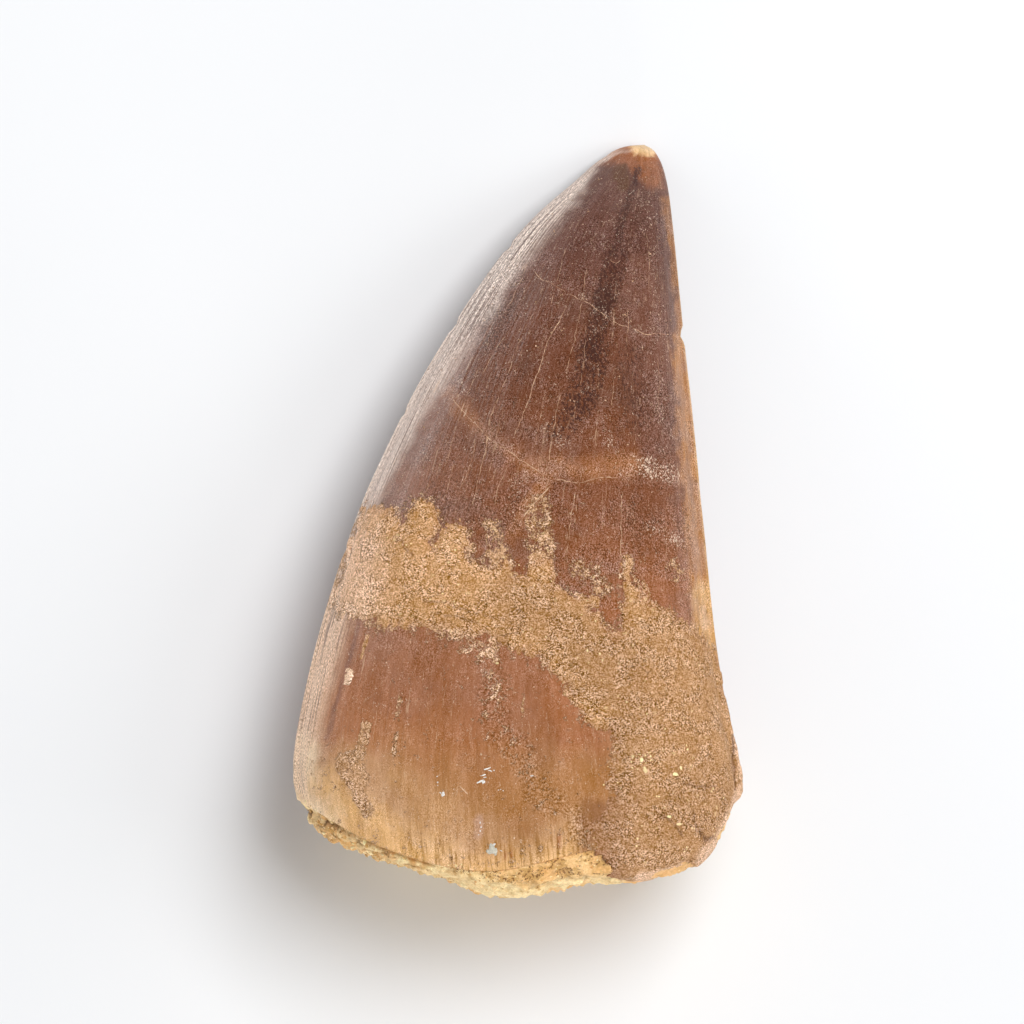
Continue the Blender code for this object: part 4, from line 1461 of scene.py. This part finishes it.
@dataclass
class SandCrust:
    """The crust of hardened sand on the face, thinning out to single grains at its edge."""

    rows: int = 250
    root_rows: int = 60
    columns: int = 430
    proud: float = 0.26
    sunk: float = 0.35
    grain_height: float = 0.022
    grit_height: float = 0.006
    lowest: float = 11.0
    last_grain: float = -0.5
    outline: Path = (
        (-20, 1.2), (-11.8, 1.2), (-9.8, 0.9), (-9.2, 0.2), (-8.9, 0.9), (-7.6, 2), (-6.3, 0.8),
        (-6.2, -0.6), (-6.7, -1.8), (-5.6, -0.4), (-4.6, 0), (-3.8, -0.5), (-3.5, -2.8), (-2.6, -3.4),
        (-1.4, -3.2), (-0.7, -2.6), (-0.3, -4.5), (0.4, -4.6), (0.9, -3.9), (1.6, -3.2), (2.3, -3.4),
        (2.9, -4.4), (3.1, -5.4), (3.9, -5.7), (5, -6), (6, -5.9), (7, -6.4), (6.2, -7), (7.2, -8.6),
        (8.28, -8.8), (8.28, -3.6), (8.6, -2.8), (9.2, -3), (9.1, -4.5), (9.9, -5.5), (10.4, -6.5),
        (12, -7), (12.8, -7.8), (14.3, -8.6), (15.1, -9.9), (20, -10.6), (20.5, -34), (7.7, -34),
        (7.7, -28.2), (6.8, -26.6), (6, -25.2), (6.2, -23.8), (7, -22.9), (7.55, -22.4), (7.55, -16.8),
        (6, -16.6), (4.3, -14.4), (3, -12.4), (1.8, -10.9), (0.6, -10.4), (-0.9, -10.3), (-1.8, -9.7),
        (-2.3, -9.1), (-4.2, -9), (-6.2, -8.6), (-9.2, -8.5), (-10.8, -8.8), (-12, -8.3), (-13.2, -7.8),
        (-14.6, -7.2), (-20, -7.2),
    )
    islands: Strokes = (
        Stroke(((-11.8, -9.2), (-12.4, -11)), 0.42, 1), Stroke(((-13.2, -12.1), (-13.4, -12.9)), 0.62, 1),
        Stroke(((-11.7, -12.1), (-11.8, -12.6)), 0.42, 1),
    )
    tones: Strokes = (
        Stroke(((-15.2, 0.5), (-13.8, -1.5), (-14.4, -6)), 0.6, 4.8, 0.95, Shade.SAND_PINK),
        # Sand patches on the lower left flank, in their cream with the flank's painted highlight.
        Stroke(((-13.2, -11.8), (-13.4, -13.2)), 0.7, 0.3, 0.9, Shade.FLANK_CREAM_SHEEN),
        Stroke(((-11.7, -12), (-11.8, -12.8)), 0.5, 0.3, 0.9, Shade.FLANK_CREAM_SHEEN),
        Stroke(((11, -11), (13, -18)), 2.5, 4, 0.7, Shade.SAND_RED),
        Stroke(((0, -6.5), (4.5, -8.5), (8, -12.5)), 1.2, 2.5, 0.75, Shade.SAND_RED),
        Stroke(((5.5, -24.5), (10, -26.5), (15, -23)), 2, 3, 0.9, Shade.SAND_RED),
        Stroke(((5.6, -11.5), (8.6, -14.5), (8.8, -20.5)), 0.8, 2, 0.8, Shade.SAND_RED),
        Stroke(((7, -23), (6.6, -26.6)), 1.1, 2.2, 0.4, Shade.GRIME_BROWN),
        # Painted highlight where the crust meets the left flank's edge.
        Stroke(((-12.9, 0.5), (-14.5, -4), (-15.4, -7.2)), 0.25, 1.2, 0.6, Shade.FLANK_CREAM_SHEEN),
        Stroke(((17.3, -17), (17.9, -20.5)), 0.35, 0.25, 0.8, Shade.SAND_PINK),
        Stroke(((17.7, -21.6), (16.9, -23.8), (15.9, -25.4), (14.6, -26.9)),
            0.3, 0.45, 0.7, Shade.SAND_PINK),
        Stroke(((9.8, -28.3), (13.2, -27.8)), 0.25, 0.35, 0.7, Shade.SAND_PINK),
    )
    cracks: Strokes = (
        Stroke(((14.3, -24.6), (14.9, -25.4), (15.4, -25.2)), 0.06, 0.14),
        Stroke(((13.9, -23.1), (13.95, -24), (14.3, -24.6)), 0.03, 0.12, 0.6),
        Stroke(((11.4, -23.4), (12.2, -24), (13.05, -25.1)), 0.03, 0.12, 0.7),
        Stroke(((13.2, -21), (14.2, -21.3), (15.5, -21.2)), 0.02, 0.12, 0.6),
        Stroke(((8.3, -3.8), (8.27, -6.5), (8.3, -8.7)), 0.04, 0.12, 0.8),
        Stroke(((-9.7, -1.6), (-9.1, -1.7), (-8.8, -2.4), (-8.2, -2.9)), 0.02, 0.12, 0.7),
        Stroke(((-7.5, -6.5), (-5.6, -6.6), (-4.5, -7.1), (-1.5, -7.9)), 0.02, 0.1, 0.6),
        Stroke(((-6.5, -7.5), (-4.9, -7.7), (-3, -8.2)), 0.02, 0.1, 0.6),
        Stroke(((17, -17.2), (17.15, -19.2), (17.25, -21.4)), 0.05, 0.14, 0.9),
    )
    crack_depth: float = 0.14
    chipped: Strokes = (
        Stroke(((18.2, -22.4), (17.2, -23.6)), 0.3, 0.5, 0.55),
        Stroke(((16.9, -24.4), (16.2, -25.4)), 0.2, 0.4, 0.4),
        Stroke(((13.6, -27.6), (11.4, -28.6)), 0.3, 0.6, 0.45),
    )
    turn_crowding: float = 0.3
    turn_span: tuple[float, float] = (-0.1, 1.12)
    highest_share: float = 0.6
    root_reach: float = 0.9
    side_proud: float = 0.1
    edge_step: float = 0.1
    edge_rise: Ramp = (-0.6, 1.6)
    crumbs: Lumps = Lumps(2300.0, 2, 0.75)
    ragged: Lumps = Lumps(1300.0, 2, 0.7, 3.0)
    lumps: Lumps = Lumps(480.0, 2)
    lump_height: float = 0.08
    grains_to_metre: float = 2300.0

    def surface(self) -> tuple[Array, Array, Array]:
        """The tooth's smooth surface under and around the crust.

        Returns:
            Its points as a grid, its outward normals and the turn of each point round the section.
        """
        first, last = (math.pi * share for share in self.turn_span)
        turns = crowded(np.linspace(first, last, self.columns), self.turn_crowding)
        share, angle = np.meshgrid(np.linspace(self.highest_share, 0.0, self.rows), turns, indexing="ij")
        depths = np.linspace(0.0, self.root_reach, self.root_rows + 1)[1:] ** 1.5
        depth, low_angle = np.meshgrid(depths, turns, indexing="ij")
        points = np.concatenate((FORM.crown(share, angle), FORM.root(depth, low_angle, 0.0)))
        normal = unit(np.cross(np.gradient(points, axis=0), np.gradient(points, axis=1)))
        turn = np.broadcast_to(turns, points.shape[:2])
        return points, normal * np.sign(normal[len(normal) // 3, self.columns // 2, 2]), turn

    def covering(self, smooth: Array, plan: Array, turn: Array) -> Array:
        """How far inside the crust each point is, in millimetres.

        Args:
            smooth: the tooth's smooth surface.
            plan: where each point shows on the plan.
            turn: the turn of each point round the section.

        Returns:
            The distance to the crust's ragged edge, positive inside it.
        """
        fingers = NOISE.layered(line_points(turn * 13.0, 0.3 * plan[..., 1]), 3, 0.6)
        crumbs, ragged = self.crumbs.at(smooth), self.ragged.at(smooth)
        cover = depth_inside(plan, self.outline) + 0.34 * fingers + 0.4 * ragged + 0.2 * crumbs
        for island in self.islands:
            cover = np.maximum(cover, island.width - distance_to(plan, island.path) + 0.1 * crumbs)
        above = smooth[..., 2] / MM - self.lowest
        return np.minimum(cover, 1.2 * above + 2.0 * self.lumps.at(smooth) + 0.8 * ragged + 0.3 * crumbs)

    def toned(self, plan: Array, lumps: Array, cover: Array, side: Array, turn: Array) -> Array:
        """The sand's colour, before the painted shade of the cracks is laid over it.

        Args:
            plan: where each point shows on the plan.
            lumps: the crust's lumps.
            cover: how far inside the crust each point is.
            side: how steep the flank is there, from 0 to 1.
            turn: the turn of each point round the section.

        Returns:
            The colour of each point.
        """
        tone = shaded(Shade.SAND_YELLOW, plan)
        for stroke in self.tones:
            weight = stroke.weight(plan + min(0.8, stroke.soft) * lumps[..., None])
            tone = painted_over(tone, linear(stroke.shade), weight)
        thin = (1 - smoothstep(cover, -0.3, 0.9)) * (1 - smoothstep(-plan[..., 0], 11.8, 13.2))
        tone = painted_over(tone, linear(Shade.FLANK_PURPLE), thin * 0.45)
        lines = NOISE.layered(line_points(turn * 26.0, 0.15 * plan[..., 1]), 3, 0.7)
        lined = 0.22 * lines * side * (plan[..., 0] < 0)
        tone[..., :3] = np.clip(tone[..., :3] * (1 + lined[..., None]), 0.0, 1.0)
        return tone

    def build(self) -> Piece:
        """The crust as a closed mesh: a grainy skin over a hidden underside sunk in the enamel."""
        smooth, normal, turn = self.surface()
        plan = PLAN.of(smooth)
        cover = self.covering(smooth, plan, turn)
        crumbs, lumps = self.crumbs.at(smooth)[..., None], self.lumps.at(smooth)
        near, own = NOISE.grains(smooth * self.grains_to_metre)
        dice = np.random.default_rng(23)
        full = self.side_proud + (self.proud - self.side_proud) * smoothstep(normal[..., 2], 0.05, 0.5)
        rise = smoothstep(cover, *self.edge_rise)
        cracks = covered(self.cracks, plan + 0.08 * crumbs)
        height = rise * full - self.edge_step * (1 - rise) + self.grain_height * (0.5 - near) * (0.5 + own)
        grit = dice.normal(0.0, self.grit_height, turn.shape)
        height += grit + self.lump_height * lumps * rise - self.crack_depth * cracks
        height -= covered(self.chipped, plan + 0.25 * crumbs)
        points = smooth + normal * (height * MM)[..., None]
        side = 1 - smoothstep(normal[..., 2], 0.35, 0.75)
        tone = self.toned(plan, lumps, cover, side, turn)
        # Painted shade in the cracks, which are also sunk.
        tone = painted_over(tone, linear(Shade.HOLLOW_SHADE), np.clip(cracks, 0.0, 1.0) * 0.8)
        return self.shell(inside_box(points), smooth - normal * self.sunk * MM, cover, tone)

    def shell(self, top: Array, bottom: Array, cover: Array, tone: Array) -> Piece:
        """Closes the covered part of a grid into a shell.

        Args:
            top: points of the outside.
            bottom: the same points on the underside.
            cover: how far inside the crust each point is.
            tone: the colour of each point.

        Returns:
            The piece.
        """
        rows, columns = cover.shape
        bm = bmesh.new()
        number = bm.verts.layers.int.new("number")
        colour = bm.verts.layers.float_color.new("tone")
        bmesh.ops.create_grid(bm, x_segments=columns - 1, y_segments=rows - 1, size=1.0)
        for place, vert in enumerate(bm.verts):
            vert[number] = place
        kept = (cover > self.last_grain).reshape(-1)
        bare = [face for face in bm.faces if not all(kept[vert[number]] for vert in face.verts)]
        bmesh.ops.delete(bm, geom=bare, context="FACES")
        places = np.concatenate((bottom.reshape(-1, 3), top.reshape(-1, 3)))
        tones = np.concatenate((tone.reshape(-1, 4),) * 2)
        grown = bmesh.ops.extrude_face_region(bm, geom=list(bm.faces), use_keep_orig=True)
        for item in grown["geom"]:
            if isinstance(item, bmesh.types.BMVert):
                item[number] += cover.size
        for vert in bm.verts:
            vert.co = places[vert[number]]
            vert[colour] = tones[vert[number]]
        bmesh.ops.recalc_face_normals(bm, faces=bm.faces)
        piece = closed("sand_crust", bpy.data.meshes.new("sand_crust"), bm)
        piece.data.attributes.remove(piece.data.attributes["number"])
        return piece

    def dress(self, piece: bpy.types.Object) -> None:
        """Gives the crust its finish and its place in the model."""
        piece.data.materials.append(SandFinish().material())
        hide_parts("matrix_crust")
        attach(piece, "root")


@dataclass
class CrackVeins:
    """Hairline cracks in the enamel, filled with pale mineral."""

    half_width: float = 0.037
    proud: float = 0.008
    spacing: float = 0.22
    waver: float = 0.1
    sunk: float = 0.02
    lines: tuple[tuple[float, Path], ...] = (
        (0.9, ((1.2, 20), (1.8, 19.3), (3.3, 18.5), (4.5, 17.8), (6.1, 17), (7, 16.2), (8, 15.6),
            (9, 15.4))),
        (1.1, ((9, 15.4), (10.1, 14.8), (10.9, 14.85), (11.9, 14.75), (12.9, 14.8))),
        (1, ((7.4, 20.8), (7.8, 20.45), (8.3, 20.75))),
        (1, ((-5.5, 10.3), (-4.6, 9), (-3.45, 7.8), (-2.15, 6.4), (-0.8, 5.6), (0.5, 4.6), (1.7, 3.9),
            (2.8, 3.3))),
        (1.1, ((2.8, 3.3), (4, 3.1), (5, 3.05), (6.6, 3.3), (7.8, 3.4), (9.6, 3.6))),
        (1.4, ((2.8, 2.8), (2, 2), (0.8, 0.65), (0.05, -0.35))),
        (0.9, ((4.1, 17.3), (2.6, 14.4), (1.5, 11.3), (0.6, 8.7), (-0.3, 6.5))),
        (0.7, ((1.6, 17), (0.9, 15.7), (-0.2, 13.1), (-1.2, 10.5), (-2.1, 8.2), (-2.4, 6.6), (-2.6, 4.8))),
        (0.6, ((-0.5, 15.2), (-1.5, 13.9), (-2.8, 11.5), (-3.4, 10))),
        (0.6, ((3.1, 8.2), (2.8, 6.1), (2.3, 4), (1.9, 2.5))),
        (0.6, ((11.1, 13.1), (11.4, 11.3), (11.2, 9.5), (11.4, 7.6))),
        (0.6, ((-6.1, 6.4), (-6.9, 3.5), (-7.3, 2.2))), (0.6, ((-3.3, 6.6), (-3.6, 4.8), (-4.6, 2.2))),
        (0.6, ((-0.8, 4.3), (-1.5, 2.5), (-1.9, 0.9))), (0.5, ((5.5, 15.7), (5.3, 12.8), (4.9, 10.2))),
        (0.5, ((-4.9, 4.8), (-5.4, 3), (-5.9, 1.2))), (0.5, ((0.9, 20.6), (0.1, 18.6), (-1.1, 16.4))),
        (0.5, ((6.6, 9.6), (6.3, 7.4), (6.2, 5.6))), (0.5, ((9.6, 9.4), (9.4, 6.9), (9.3, 4.7))),
        (0.5, ((-11, -14.2), (-11.4, -17), (-11.7, -18.8))), (0.5, ((-5.6, -12.6), (-5.9, -14.9))),
        (0.5, ((2.4, -15.2), (2.5, -17.2))), (0.7, ((-2.3, 6.8), (-2.9, 4), (-3.6, 1))),
        (0.8, ((3.5, 10.2), (2.9, 7.2), (2.5, 4.4))), (0.7, ((2.2, 10.2), (1.8, 8), (1.4, 5.8))),
        (0.9, ((5.2, 4.4), (4.8, 1.6), (4.5, -1.3))), (0.7, ((7.2, 2.9), (7, 1.1), (6.8, -0.8))),
        (0.6, ((8.8, 17), (8.8, 14.7), (8.7, 12.6))), (0.9, ((4.8, 2.8), (4.3, 0), (4, -2.8))),
        (0.8, ((8.3, 2.4), (8.3, -0.8), (8.3, -3.4))), (0.7, ((9, 0.5), (9.3, 0.1), (9.1, -0.6))),
        (0.6, ((5.6, 20.8), (5.2, 17.6), (4.6, 14.4), (3.9, 11.6))),
        (0.5, ((3.9, 21.8), (3.2, 19), (2.4, 16.2))),
        (0.6, ((-3, 12.4), (-4.2, 9.4), (-5.2, 6.2), (-5.9, 3.4))),
        (0.5, ((-1, 9.2), (-1.7, 6.4), (-2.3, 3.4))), (0.5, ((10.3, 23), (10.5, 20.4), (10.5, 17.8))),
        (0.5, ((7.7, 12.4), (7.6, 10), (7.3, 7.6))), (0.5, ((11.9, 2.6), (11.9, -0.4), (11.8, -3.4))),
    )

    def build(self, crown: Piece) -> Piece:
        """The filled cracks as one mesh of thin closed ribbons.

        Args:
            crown: the enamel that they lie in.

        Returns:
            The piece.
        """
        tree = surface_of([crown])
        whole = bmesh.new()
        for strength, path in self.lines:
            self.ribbon(whole, tree, strength, path)
        piece = closed("crack_veins", bpy.data.meshes.new("crack_veins"), whole)
        tone = piece.data.attributes.new("tone", "FLOAT_COLOR", "POINT")
        colours = np.tile(linear(Shade.VEIN_TAN), len(piece.data.vertices))
        tone.data.foreach_set("color", colours.astype(np.float32))
        return piece

    def ribbon(self, whole: bmesh.types.BMesh, tree: BVHTree, strength: float, path: Path) -> None:
        """Adds one ribbon: a wide low ridge, tapered at both ends, on the enamel.

        Args:
            whole: the mesh that it joins.
            tree: the enamel's surface.
            strength: its width against the usual.
            path: where it runs on the plan.
        """
        length = sum(math.dist(a, b) for a, b in zip(path[:-1], path[1:]))
        line = smooth_curve(path, np.linspace(0.0, 1.0, max(6, int(length / self.spacing))))
        level = np.full(len(line), 0.5)
        wander = (line * 1.7 + 5.0, line * 1.7 + 50.0)
        waver = [NOISE.layered(np.column_stack((places, level)), 2) for places in wander]
        line = line + self.waver * np.stack(waver, axis=-1)
        hits = [hit for hit in (PLAN.drop(tree, tuple(place)) for place in line) if hit]
        count = len(hits)
        if count < 4:
            return
        mottle = NOISE.layered(np.column_stack((line[:count] * 2.6, level[:count])), 2)
        beads = 0.5 + 0.38 * strength + 0.8 * mottle
        made = bmesh.ops.create_grid(whole, x_segments=4, y_segments=count - 1, size=1.0)
        for row, (point, normal) in enumerate(hits):
            ahead = hits[min(row + 1, count - 1)][0] - hits[max(row - 1, 0)][0]
            side = normal.cross(ahead).normalized()
            taper = min(1.0, 3.2 * math.sin(math.pi * row / (count - 1))) if 0 < row < count - 1 else 0.0
            bead = float(beads[row])
            wide = self.half_width * strength * min(1.5, max(0.3, bead)) * taper * MM
            high = self.proud * min(1.0, max(-0.9, 4 * bead - 1.7)) * taper * MM
            low = self.sunk * taper * MM
            ring = ((-1, -0.1 * low), (0, high), (1, -0.1 * low), (0, -low), (-1, -0.1 * low))
            for column, (across, up) in enumerate(ring):
                made["verts"][row * 5 + column].co = point + side * (across * wide) + normal * up
        faces = {face for vert in made["verts"] for face in vert.link_faces}
        bmesh.ops.remove_doubles(whole, verts=made["verts"], dist=1e-9)
        bmesh.ops.recalc_face_normals(whole, faces=[face for face in faces if face.is_valid])

    def dress(self, piece: bpy.types.Object) -> None:
        """Gives the veins their finish and their place in the model."""
        piece.data.materials.append(VeinFinish().material())
        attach(piece, "root")


@dataclass(frozen=True)
class Chip:
    """One grain or chip on the plan, in millimetres, its turn in degrees and its height to its width."""

    place: tuple[float, float]
    length: float
    width: float
    turn: float
    tall: float
    shade: Shade


@dataclass(frozen=True)
class Scatter:
    """Grains strewn along a line on the plan, in millimetres."""

    path: Path
    reach: float
    count: int
    least: float
    most: float
    shades: tuple[Shade, ...] = (Shade.BONE_CREAM, Shade.SAND_PINK)

    def strewn(self, tall: float, dice: np.random.Generator) -> Iterator[Chip]:
        """The grains, one after the other.

        Args:
            tall: their height against their width.
            dice: the source of their places and sizes.

        Returns:
            The grains, one at a time, because each one's lumps are drawn before the next place.
        """
        low, high = np.min(self.path, axis=0) - self.reach, np.max(self.path, axis=0) + self.reach
        placed = 0
        while placed < self.count:
            place = low + (high - low) * dice.random(2)
            if distance_to(place[None], self.path)[0] > self.reach:
                continue
            length = self.least + (self.most - self.least) * dice.random() ** 2
            shade = self.shades[int(dice.integers(len(self.shades)))]
            width = length * (1.2 + 0.7 * dice.random())
            yield Chip(tuple(place), length * 2, width, 360 * dice.random(), tall, shade)
            placed += 1


@dataclass
class StuckGrains:
    """Loose grains: white chips on the enamel, pale grains in the sand and crumbs along the broken rim.

    Each chip is its x, y, length and width on the plan and its turn in degrees, under its shade.
    """

    chips: tuple[tuple[Shade, tuple[tuple[float, ...], ...]], ...] = (
        (Shade.CHALK, (
        (-2.43, -19.81, 0.66, 0.13, -20), (-2.15, -19.95, 0.4, 0.1, -28), (-1.83, -19.93, 0.14, 0.13, 0),
        (-2.63, -20.29, 0.6, 0.11, 8), (-2.55, -20.48, 0.34, 0.08, -12), (-2.94, -20.82, 0.7, 0.16, -14),
        (-2.67, -20.86, 0.34, 0.24, 10), (-6.37, -20.41, 0.13, 0.11, 0), (-6.31, -20.88, 0.16, 0.13, 0),
        (-6.31, -21.12, 0.1, 0.1, 0), (-5.89, -21.82, 0.44, 0.3, 10), (-6.1, -21.7, 0.16, 0.12, 30),
        )),
        (Shade.VEIN_PALE, (
        (-4.25, -21.5, 0.9, 0.09, 90),
        )),
        (Shade.CHALK, (
        (-1.48, -21.49, 0.12, 0.1, 0), (-1.3, -21.45, 0.09, 0.09, 0), (-1.11, -21.54, 0.12, 0.1, 0),
        (1.19, -20.36, 0.34, 0.1, -6),
        )),
        (Shade.VEIN_PALE, (
        (-2.86, -18.66, 0.2, 0.28, 10), (-2.6, -18.95, 0.16, 0.14, 10),
        )),
        (Shade.CHALK_GREY, (
        (-1.99, -26.2, 0.9, 0.6, -20), (-2.25, -26.42, 0.52, 0.34, 20), (-1.7, -26.4, 0.6, 0.3, -32),
        )),
        (Shade.CHALK, (
        (-1.88, -25.86, 0.22, 0.46, 0), (-1.27, -26.32, 0.3, 0.09, -10), (-2.94, -24.1, 0.16, 0.12, 0),
        (-2.86, -24.45, 0.13, 0.16, 0), (-2.92, -24.75, 0.16, 0.13, 0), (-3.05, -25.05, 0.1, 0.12, 0),
        )),
        (Shade.VEIN_PALE, (
        (-4.62, -25, 0.16, 0.12, 40), (-0.22, -25.3, 0.18, 0.22, 10),
        )),
        (Shade.BONE_CREAM, (
        (12.6, -20.24, 0.52, 0.28, -50), (13.05, -19.73, 0.34, 0.22, 10), (12.1, -23.6, 0.36, 0.24, 60),
        (12.9, -24.2, 0.44, 0.22, 100), (15.6, -21.4, 0.24, 0.18, 0), (9.9, -19.1, 0.42, 0.3, 30),
        (9.2, -18.8, 0.3, 0.22, 80), (10.2, -19.9, 0.55, 0.34, 10), (5.6, -10.4, 0.28, 0.2, 40),
        (-1.6, -11.4, 0.3, 0.22, 0),
        )),
    )
    scatters: tuple[Scatter, ...] = (
        Scatter(((9.7, -19.3), (10.2, -18.8)), 0.7, 30, 0.06, 0.12),
        Scatter(((7, -12), (13, -24)), 4.2, 80, 0.05, 0.11),
        Scatter(((-12, -3), (5, -7.5)), 2.6, 50, 0.05, 0.1),
        Scatter(
        ((-17, -22.9), (-14.5, -25), (-12, -26.3), (-9.6, -27.1)), 0.6, 110, 0.08, 0.24,
            (Shade.BONE_CREAM, Shade.BONE_KHAKI, Shade.BONE_KHAKI, Shade.BONE_OLIVE),
        ),
        Scatter(
        ((-6, -28), (0, -28.9), (6.5, -27.6)), 0.9, 60, 0.06, 0.14,
            (Shade.BONE_CREAM, Shade.BONE_ORANGE, Shade.BONE_CREAM),
        ),
    )
    chip_height: float = 0.3
    scatter_height: float = 0.75
    sunk: float = 0.12

    def build(self, bases: list[Piece]) -> Piece:
        """The grains as one mesh of small closed lumps.

        Args:
            bases: the pieces that they lie on.

        Returns:
            The piece.
        """
        tree = surface_of(bases)
        grains = bmesh.new()
        colour = grains.verts.layers.float_color.new("tone")
        dice = np.random.default_rng(41)
        for shade, chips in self.chips:
            for x, y, length, width, turn in chips:
                chip = Chip((x, y), length, width, turn, self.chip_height, shade)
                self.grain(grains, colour, tree, chip, dice)
        for scatter in self.scatters:
            for chip in scatter.strewn(self.scatter_height, dice):
                self.grain(grains, colour, tree, chip, dice)
        return closed("stuck_grains", bpy.data.meshes.new("stuck_grains"), grains)

    def grain(
        self, grains: bmesh.types.BMesh, colour: object, tree: BVHTree, chip: Chip, dice: np.random.Generator
    ) -> None:
        """Adds one lumpy grain, half sunk in what it lies on.

        Args:
            grains: the mesh that it joins.
            colour: the mesh's colour layer.
            tree: the surface below.
            chip: its place, size and shade.
            dice: the source of its lumps.
        """
        hit = PLAN.drop(tree, chip.place)
        if hit is None:
            return
        point, normal = hit
        turned = normal.to_track_quat("Z", "Y").to_matrix().to_4x4()
        turned = turned @ Matrix.Rotation(math.radians(chip.turn), 4, "Z")
        long, wide = chip.length / 2, chip.width / 2
        size = Matrix.Diagonal((long * MM, wide * MM, wide * chip.tall * MM, 1.0))
        sunk = normal * self.sunk * chip.width * chip.tall * MM
        place = Matrix.Translation(point - sunk) @ turned @ size
        made = bmesh.ops.create_icosphere(grains, subdivisions=2 if chip.length > 0.3 else 1, radius=1.0)
        shade = linear(chip.shade) * np.append(np.full(3, 0.85 + 0.3 * dice.random()), 1.0)
        for vert in made["verts"]:
            vert.co = place @ (vert.co * (0.75 + 0.5 * dice.random()))
            vert[colour] = np.minimum(shade, 1.0)

    def dress(self, piece: bpy.types.Object) -> None:
        """Gives the grains their finish and their place in the model."""
        piece.data.materials.append(GrainFinish().material())
        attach(piece, "root")


@dataclass
class Studio:
    """A plain pale floor, soft lights and the camera straight above."""

    floor_half: float = 1.5
    world_strength: float = 0.25
    sensor: float = 36.0
    distance: float = 0.6
    box_width: float = 0.3
    aim: Triple = (0.0, 0.0, 0.01)
    soft_boxes: tuple[tuple[str, float, float, float, float], ...] = (
        ("key", 45.0, 65.0, 0.3, 2.76),
        ("right", 0.0, 40.0, 0.3, 0.86),
        ("front", 270.0, 7.0, 0.12, 1.9),
        ("back", 140.0, 13.0, 0.24, 0.56),
        ("left", 168.0, 7.0, 0.12, 0.56),
    )
    strip_place: Triple = (-0.37, 0.29, 0.03)
    strip_tall: float = 0.1
    strip_power: float = 1.5

    def lamp(self, name: str, place: Vector, tall: float, power: float, gloss_only: bool = False) -> None:
        """Adds a rectangular light aimed at the tooth.

        Args:
            name: its name.
            place: where it stands.
            tall: its height, in metres.
            power: its strength in watts.
            gloss_only: true if only the polish shows it, false if only the shading does.
        """
        light = bpy.data.lights.new(name, "AREA")
        light.shape = "RECTANGLE"
        light.size, light.size_y = self.box_width, tall
        light.energy = power
        lamp = placed(name, light)
        lamp.location = place
        lamp.rotation_euler = (Vector(self.aim) - place).to_track_quat("-Z", "Y").to_euler()
        lamp.visible_camera = False
        lamp.visible_diffuse = not gloss_only
        lamp.visible_glossy = gloss_only

    def floor(self) -> None:
        """Lays the floor."""
        bm = bmesh.new()
        bmesh.ops.create_grid(bm, x_segments=2, y_segments=2, size=self.floor_half)
        mesh = bpy.data.meshes.new("floor")
        bm.to_mesh(mesh)
        bm.free()
        mesh.materials.append(FloorFinish().material())
        floor = placed("floor", mesh)

    def lights(self) -> None:
        """Sets up the pale surroundings, the soft boxes and the strip that the left flank mirrors."""
        world = bpy.data.worlds.new("studio")
        world.use_nodes = True
        background = world.node_tree.nodes["Background"]
        background.inputs["Color"].default_value = (1.0, 1.0, 1.0, 1.0)
        background.inputs["Strength"].default_value = self.world_strength
        bpy.context.scene.world = world
        for name, turn, rise, tall, power in self.soft_boxes:
            turn, rise = math.radians(turn), math.radians(rise)
            flat = math.cos(rise)
            place = Vector((math.cos(turn) * flat, math.sin(turn) * flat, math.sin(rise)))
            self.lamp(name, self.distance * place, tall, power)
        self.lamp("left_strip", Vector(self.strip_place), self.strip_tall, self.strip_power, gloss_only=True)

    def camera(self) -> None:
        """Sets up the camera, which looks straight down."""
        lens = bpy.data.cameras.new("camera")
        lens.sensor_width = self.sensor
        lens.lens = self.sensor * (PLAN.eye_height - PLAN.plane_height) / PLAN.field_width
        lens.clip_start = 0.01
        camera = placed("camera", lens)
        camera.location = (*PLAN.middle, PLAN.eye_height)
        bpy.context.scene.camera = camera
        bpy.context.scene.view_settings.view_transform = "Standard"

    def build(self) -> None:
        """Sets up the floor, the lights and the camera."""
        self.floor()
        self.lights()
        self.camera()


Maker = EnamelCrown | RootBone | SandCrust | CrackVeins | StuckGrains


def dressed(maker: Maker, piece: Piece) -> Piece:
    """Dresses a piece, logs its size and hands it back."""
    maker.dress(piece)
    triangles = sum(len(face.vertices) - 2 for face in piece.data.polygons)
    sides = [round(side / MM, 2) for side in piece.dimensions]
    LOG.info("%s: %d triangles, %s mm", piece.name, triangles, sides)
    return piece


def main() -> None:
    """Builds and dresses the tooth, then the studio."""
    logging.basicConfig(level=logging.INFO, format="%(message)s")
    crust, crown, root = SandCrust(), EnamelCrown(), RootBone()
    veins, grains = CrackVeins(), StuckGrains()
    crown_piece = dressed(crown, crown.build(crust.outline))
    root_piece = dressed(root, root.build())
    crust_piece = dressed(crust, crust.build())
    dressed(veins, veins.build(crown_piece))
    dressed(grains, grains.build([crown_piece, root_piece, crust_piece]))
    Studio().build()


if __name__ == "__main__":
    main()
